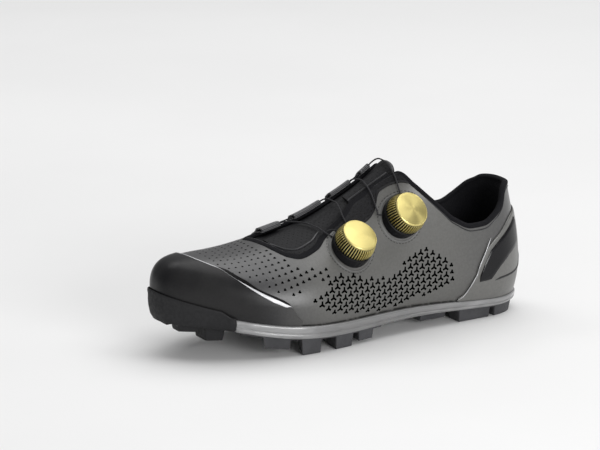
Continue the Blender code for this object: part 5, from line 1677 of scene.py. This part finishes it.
def tread_grid(shares, lugs, out, reach, tree, inner, slant=0.0):
    """Top and underside of a tread row: the underside drops from its base to the floor on each lug."""
    size = sizes()
    marks = np.array([0.0, 0.02, 0.05, 0.08, 0.11, 0.15, 0.30, 0.45, 0.60, 0.75, 0.84, 0.88, 0.92, 0.95, 0.98,
                      1.0])
    profile = np.minimum(smoothstep(marks / 0.12), smoothstep((1.0 - marks) / 0.14))
    outer_line = side_line(shares, out, inner)
    inner_line = side_line(shares, -reach, inner)
    top = outer_line[:, None] * (1.0 - marks[None, :, None]) + inner_line[:, None] * marks[None, :, None]
    top[..., 1] += slant * marks[None, :]
    up = Vector((0.0, 0.0, 1.0))
    hits = [tree.ray_cast(Vector((x, y, -0.05)), up)[0] for x, y, _ in top.reshape(-1, 3)]
    found = np.array([h.z if h else np.nan for h in hits]).reshape(top.shape[:2])
    guess = (section(shares, "foot") - size.gap - section(shares, "band"))[:, None]
    found = np.where(np.isnan(found) | (np.abs(found - guess) > 0.0035), guess, found)
    top[..., 2] = found - size.gap * 0.5
    low = top.copy()
    base = top[..., 2] - size.tread * np.minimum(1.0, 0.3 + profile)[None, :]
    weight, level = lug_levels(shares, lugs, LUG_RAMP)
    drop = weight[:, None] * profile[None, :]
    low[..., 2] = base * (1.0 - drop) + level[:, None] * drop
    return top, low


def build_tread():
    """Forefoot lug rows and the heel's horseshoe of lugs, with rounded, drafted flanks."""
    tree = tree_of(bpy.data.objects["plate_band"])
    rubber = rubber_finish()
    shares = ramp_stops(SIDE_LUGS, TREAD_START, TREAD_END, LUG_RAMP, 0.006)
    reach = np.interp(shares, (0.462, 0.55, 0.75, 0.850), (0.013, 0.021, 0.021, 0.014))
    for name, inner in (("lateral", False), ("medial", True)):
        top, low = tread_grid(shares, SIDE_LUGS, 0.0006, reach, tree, inner, slant=0.0045)
        slab_piece(f"lugs_{name}", top, low, rubber, (f"tread_{name}",), sharp=50.0)
    half = ramp_stops(HEEL_LUGS, 0.0, HEEL_TREAD_END, LUG_RAMP, 0.006)
    reach = np.interp(half, (0.0, 0.10, 0.220, 0.240, 0.324), (0.0150, 0.0170, 0.0180, 0.0225, 0.0225))
    out = np.interp(half, (0.0, 0.218, 0.236, 0.324), (0.0002, 0.0002, -0.0085, -0.0085))
    outer, inner = (tread_grid(half, HEEL_LUGS, out, reach, tree, side) for side in (False, True))
    top, low = (np.concatenate([a[::-1], b[1:]]) for a, b in zip(outer, inner))
    slab_piece("lugs_heel", top, low, rubber, ("tread_heel",), sharp=50.0)


def build_bumper():
    """Toe bumper: a lip and rounded wall round the toe, with two pairs of toe lugs underneath."""
    size = sizes()
    shares = ramp_stops(TOE_LUGS, BUMPER_START, 1.0, 0.004, 0.004)
    shares = np.unique(np.concatenate([shares, toe_rows(0.97, 16)]))
    under = section(shares, "foot") - size.gap
    band, foot = section(shares, "band"), section(shares, "foot")
    lip = np.interp(shares, (BUMPER_START, 0.885, 1.0), (0.15, 1.0, 1.0)) * size.lip
    closed = closing(1.0 - shares, TOE_CLOSE, TOE_POWER)
    tuck = size.ball_width * FOOT_TUCK * closed * (1.0 - (1.0 - lip / section(shares, "belly")) ** 2)
    inside = 3.0 * size.gap + size.overlay
    inside = inside + np.interp(shares, (BUMPER_START, 0.869, 0.890), (0.0008, 0.0004, 0.0))
    corners = (
        (inside, under), (inside + tuck, foot + lip - 0.0002), (inside + tuck + 0.0005, foot + lip),
        (inside + tuck + 0.0009, foot + lip - 0.0005), (inside + tuck * 0.8 + 0.0012, foot + lip * 0.6),
        (inside + 0.0015, foot + lip * 0.1), (inside + 0.0016, under - band * 0.20),
        (inside + 0.0014, under - band * 0.42), (inside + 0.0009, under - band * 0.62),
        (inside + 0.0003, under - band * 0.80), (0.0003 + inside * 0.3, under - band * 0.93),
        (0.0002, under - band),
    )
    outer, inner = (profile_lines(shares, corners, side) for side in (False, True))
    marks = np.array([0.04, 0.07, 0.085, 0.10, 0.115, 0.13, 0.24, 0.36, 0.375, 0.39, 0.405, 0.42, 0.50])
    marks = np.concatenate([marks, 1.0 - marks[:-1][::-1]])
    near = np.minimum(marks, 1 - marks)
    lug = np.minimum(smoothstep((near - 0.07) / 0.05), smoothstep((0.42 - near) / 0.05))
    weight, level = lug_levels(shares, TOE_LUGS, 0.004)
    ring = [outer[0], (outer[0] + inner[0]) / 2.0] + inner
    for a, deep in zip(marks[::-1], lug[::-1]):
        line = outer[-1] * (1.0 - a) + inner[-1] * a
        drop = weight * deep
        line[:, 2] = (under - band) * (1.0 - drop) + level * drop
        ring.append(line)
    rings = np.stack(ring + outer[1:][::-1], axis=1)
    rings[0, :, 1] = size.length * (0.5 - PLATE_END) - size.gap + place_of_last()[1]
    parts = MeshParts()
    parts.tube(rings, caps=(True, False))
    make_piece("toe_guard", parts, [rubber_finish("guard_rubber", 0.3)], ("toe_bumper",),
               sharp=50.0)


def build_insole():
    """Footbed on the plate, highest along its middle and thinner towards its edges."""
    size = sizes()
    shares = (1.0 - np.cos(math.pi * np.linspace(0.0, 1.0, 90))) / 2.0
    inset = -(size.wall + 0.0009)
    outer, inner = side_line(shares, inset, False), side_line(shares, inset, True)
    marks = np.linspace(0.0, 1.0, 22)
    grid = outer[:, None] * (1.0 - marks[None, :, None]) + inner[:, None] * marks[None, :, None]
    low, top = grid.copy(), grid.copy()
    low[..., 2] = section(shares, "foot")[:, None]
    dish = 0.0005 * np.cos((marks - 0.5) * 2.0 * math.pi) - 0.0005
    top[..., 2] = low[..., 2] + size.insole + dish[None, :]
    knit = textile_finish("insole_knit", 0.0013, (0.03, 0.03, 0.033), depth=0.0002)
    slab_piece("footbed", top, low, knit, ("insole",), grid[..., :2])


def stage_finish():
    """Matt pale paper."""
    material, tree, shader, where = new_finish("stage_paper", 0.9, specular=0.2)
    if tree:
        noise = put(tree, "ShaderNodeTexNoise", {"Vector": where["Object"], "Scale": 3.0, "Detail": 3.0})
        mask = fitted(tree, noise.outputs["Fac"], 0.3, 0.7)
        tone = blended(tree, mask, rgba((0.79, 0.79, 0.79)), rgba((0.81, 0.81, 0.81)))
        tree.links.new(tone, shader.inputs["Base Color"])
    return material


def area_light(name, where, width, height, power):
    """A rectangular light aimed at the shoe's middle."""
    light = bpy.data.lights.new(name, "AREA")
    light.shape = "RECTANGLE"
    light.size, light.size_y, light.energy = width, height, power
    thing = placed(name, light)
    thing.location = where
    thing.rotation_mode = "QUATERNION"
    thing.rotation_quaternion = (Vector(LIGHT_TARGET) - Vector(where)).to_track_quat("-Z", "Y")


def build_stage():
    """Pale floor, soft lights, and the camera at the photograph's angle."""
    mesh = bpy.data.meshes.new("paper_floor")
    corners = [(x * FLOOR_REACH, y * FLOOR_REACH, -0.0001) for x, y in ((-1, -1), (1, -1), (1, 1), (-1, 1))]
    mesh.from_pydata(corners, [], [(0, 1, 2, 3)])
    mesh.materials.append(stage_finish())
    floor = placed("paper_floor", mesh)
    azimuth, elevation = math.radians(CAMERA_AZIMUTH), math.radians(CAMERA_ELEVATION)
    back = Vector((math.sin(azimuth) * math.cos(elevation), -math.cos(azimuth) * math.cos(elevation),
                   math.sin(elevation)))
    right = Vector((math.cos(azimuth), math.sin(azimuth), 0.0))
    up = back.cross(right)
    shift = place_of_last()
    point = Vector((shift[0], shift[1], AIM_HEIGHT))
    location = point + back * CAMERA_DISTANCE
    pixel = CAMERA_DISTANCE / FOCAL_PIXELS
    roll = math.radians(CAMERA_ROLL)
    offset = (AIM_PIXEL[0] - FRAME_WIDTH / 2.0, FRAME_HEIGHT / 2.0 - AIM_PIXEL[1])
    turned_right = right * math.cos(roll) + up * math.sin(roll)
    turned_up = up * math.cos(roll) - right * math.sin(roll)
    aim = point - turned_right * offset[0] * pixel - turned_up * offset[1] * pixel
    data = bpy.data.cameras.new("studio_camera")
    data.sensor_width = 36.0
    data.lens = FOCAL_PIXELS / FRAME_WIDTH * data.sensor_width
    data.clip_start, data.clip_end = 0.05, 30.0
    camera = placed("studio_camera", data)
    camera.location = location
    camera.rotation_mode = "QUATERNION"
    rolled = Quaternion((aim - location).normalized(), -roll)
    camera.rotation_quaternion = rolled @ (aim - location).to_track_quat("-Z", "Y")
    bpy.context.scene.camera = camera
    for light in LIGHTS:
        area_light(*light)
    world = bpy.data.worlds.new("studio")
    world.use_nodes = True
    sky = world.node_tree.nodes["Background"]
    sky.inputs["Color"].default_value = (1.0, 1.0, 1.0, 1.0)
    sky.inputs["Strength"].default_value = 0.30
    bpy.context.scene.world = world
    bpy.context.scene.view_settings.view_transform = "Standard"


class ShoeStep:
    """Runs an operator's builders in order; an error in one of them stops it."""

    def execute(self, context):
        """Build the pieces."""
        for build in self.builders:
            build()
        return {"FINISHED"}


class SHOE_OT_stage(ShoeStep, bpy.types.Operator):
    """Make the floor, lights and camera"""

    bl_idname = "shoe.stage"
    bl_label = "Stage"
    builders = (build_stage,)


class SHOE_OT_upper(ShoeStep, bpy.types.Operator):
    """Make the upper with its cuts and throat film"""

    bl_idname = "shoe.upper"
    bl_label = "Upper"
    builders = (build_upper, build_film)


class SHOE_OT_toe_cap(ShoeStep, bpy.types.Operator):
    """Make the toe cap and its trim"""

    bl_idname = "shoe.toe_cap"
    bl_label = "Toe cap"
    builders = (build_toe_cap, build_trim)


class SHOE_OT_counter(ShoeStep, bpy.types.Operator):
    """Make the heel counter and its trims"""

    bl_idname = "shoe.counter"
    bl_label = "Counter"
    builders = (build_counter,)


class SHOE_OT_collar(ShoeStep, bpy.types.Operator):
    """Make the collar lining and binding"""

    bl_idname = "shoe.collar"
    bl_label = "Collar"
    builders = (build_collar,)


class SHOE_OT_tongue(ShoeStep, bpy.types.Operator):
    """Make the tongue and the throat panels"""

    bl_idname = "shoe.tongue"
    bl_label = "Tongue"
    builders = (build_tongue, build_wings)


class SHOE_OT_webbing(ShoeStep, bpy.types.Operator):
    """Make the lace loops and their slots"""

    bl_idname = "shoe.webbing"
    bl_label = "Webbing"
    builders = (build_webbing, build_slots)


class SHOE_OT_dials(ShoeStep, bpy.types.Operator):
    """Make the two dials"""

    bl_idname = "shoe.dials"
    bl_label = "Dials"
    builders = (build_dials,)


class SHOE_OT_laces(ShoeStep, bpy.types.Operator):
    """Make the two laces"""

    bl_idname = "shoe.laces"
    bl_label = "Laces"
    builders = (build_laces,)


class SHOE_OT_sole(ShoeStep, bpy.types.Operator):
    """Make the plate, bumper and lugs"""

    bl_idname = "shoe.sole"
    bl_label = "Sole"
    builders = (build_plate, build_bumper, build_tread)


class SHOE_OT_insole(ShoeStep, bpy.types.Operator):
    """Make the footbed"""

    bl_idname = "shoe.insole"
    bl_label = "Insole"
    builders = (build_insole,)


OPERATORS = (
    SHOE_OT_stage, SHOE_OT_upper, SHOE_OT_toe_cap, SHOE_OT_counter, SHOE_OT_collar, SHOE_OT_tongue,
    SHOE_OT_webbing, SHOE_OT_dials, SHOE_OT_laces, SHOE_OT_sole, SHOE_OT_insole,
)


class SHOE_PT_panel(bpy.types.Panel):
    """Lists the shoe's operators and sizes."""

    bl_label = "Cycling shoe"
    bl_space_type = "VIEW_3D"
    bl_region_type = "UI"
    bl_category = "Shoe"

    def draw(self, context):
        """Draw the operators, then the sizes and colours."""
        for kind in OPERATORS:
            self.layout.operator(kind.bl_idname)
        for group in (context.scene.shoe_sizes, context.scene.shoe_colours):
            for name in group.__annotations__:
                self.layout.prop(group, name)


CLASSES = (ShoeSizes, ShoeColours) + OPERATORS + (SHOE_PT_panel,)


def register():
    """Register the classes and hang the properties on the scene."""
    for kind in CLASSES:
        bpy.utils.register_class(kind)
    bpy.types.Scene.shoe_sizes = PointerProperty(type=ShoeSizes)
    bpy.types.Scene.shoe_colours = PointerProperty(type=ShoeColours)


def unregister():
    """Take the properties and classes away again."""
    del bpy.types.Scene.shoe_colours
    del bpy.types.Scene.shoe_sizes
    for kind in reversed(CLASSES):
        bpy.utils.unregister_class(kind)


def main():
    """Build every piece."""
    register()
    for kind in OPERATORS:
        getattr(bpy.ops.shoe, kind.bl_idname.split(".")[1])()


if __name__ == "__main__":
    main()
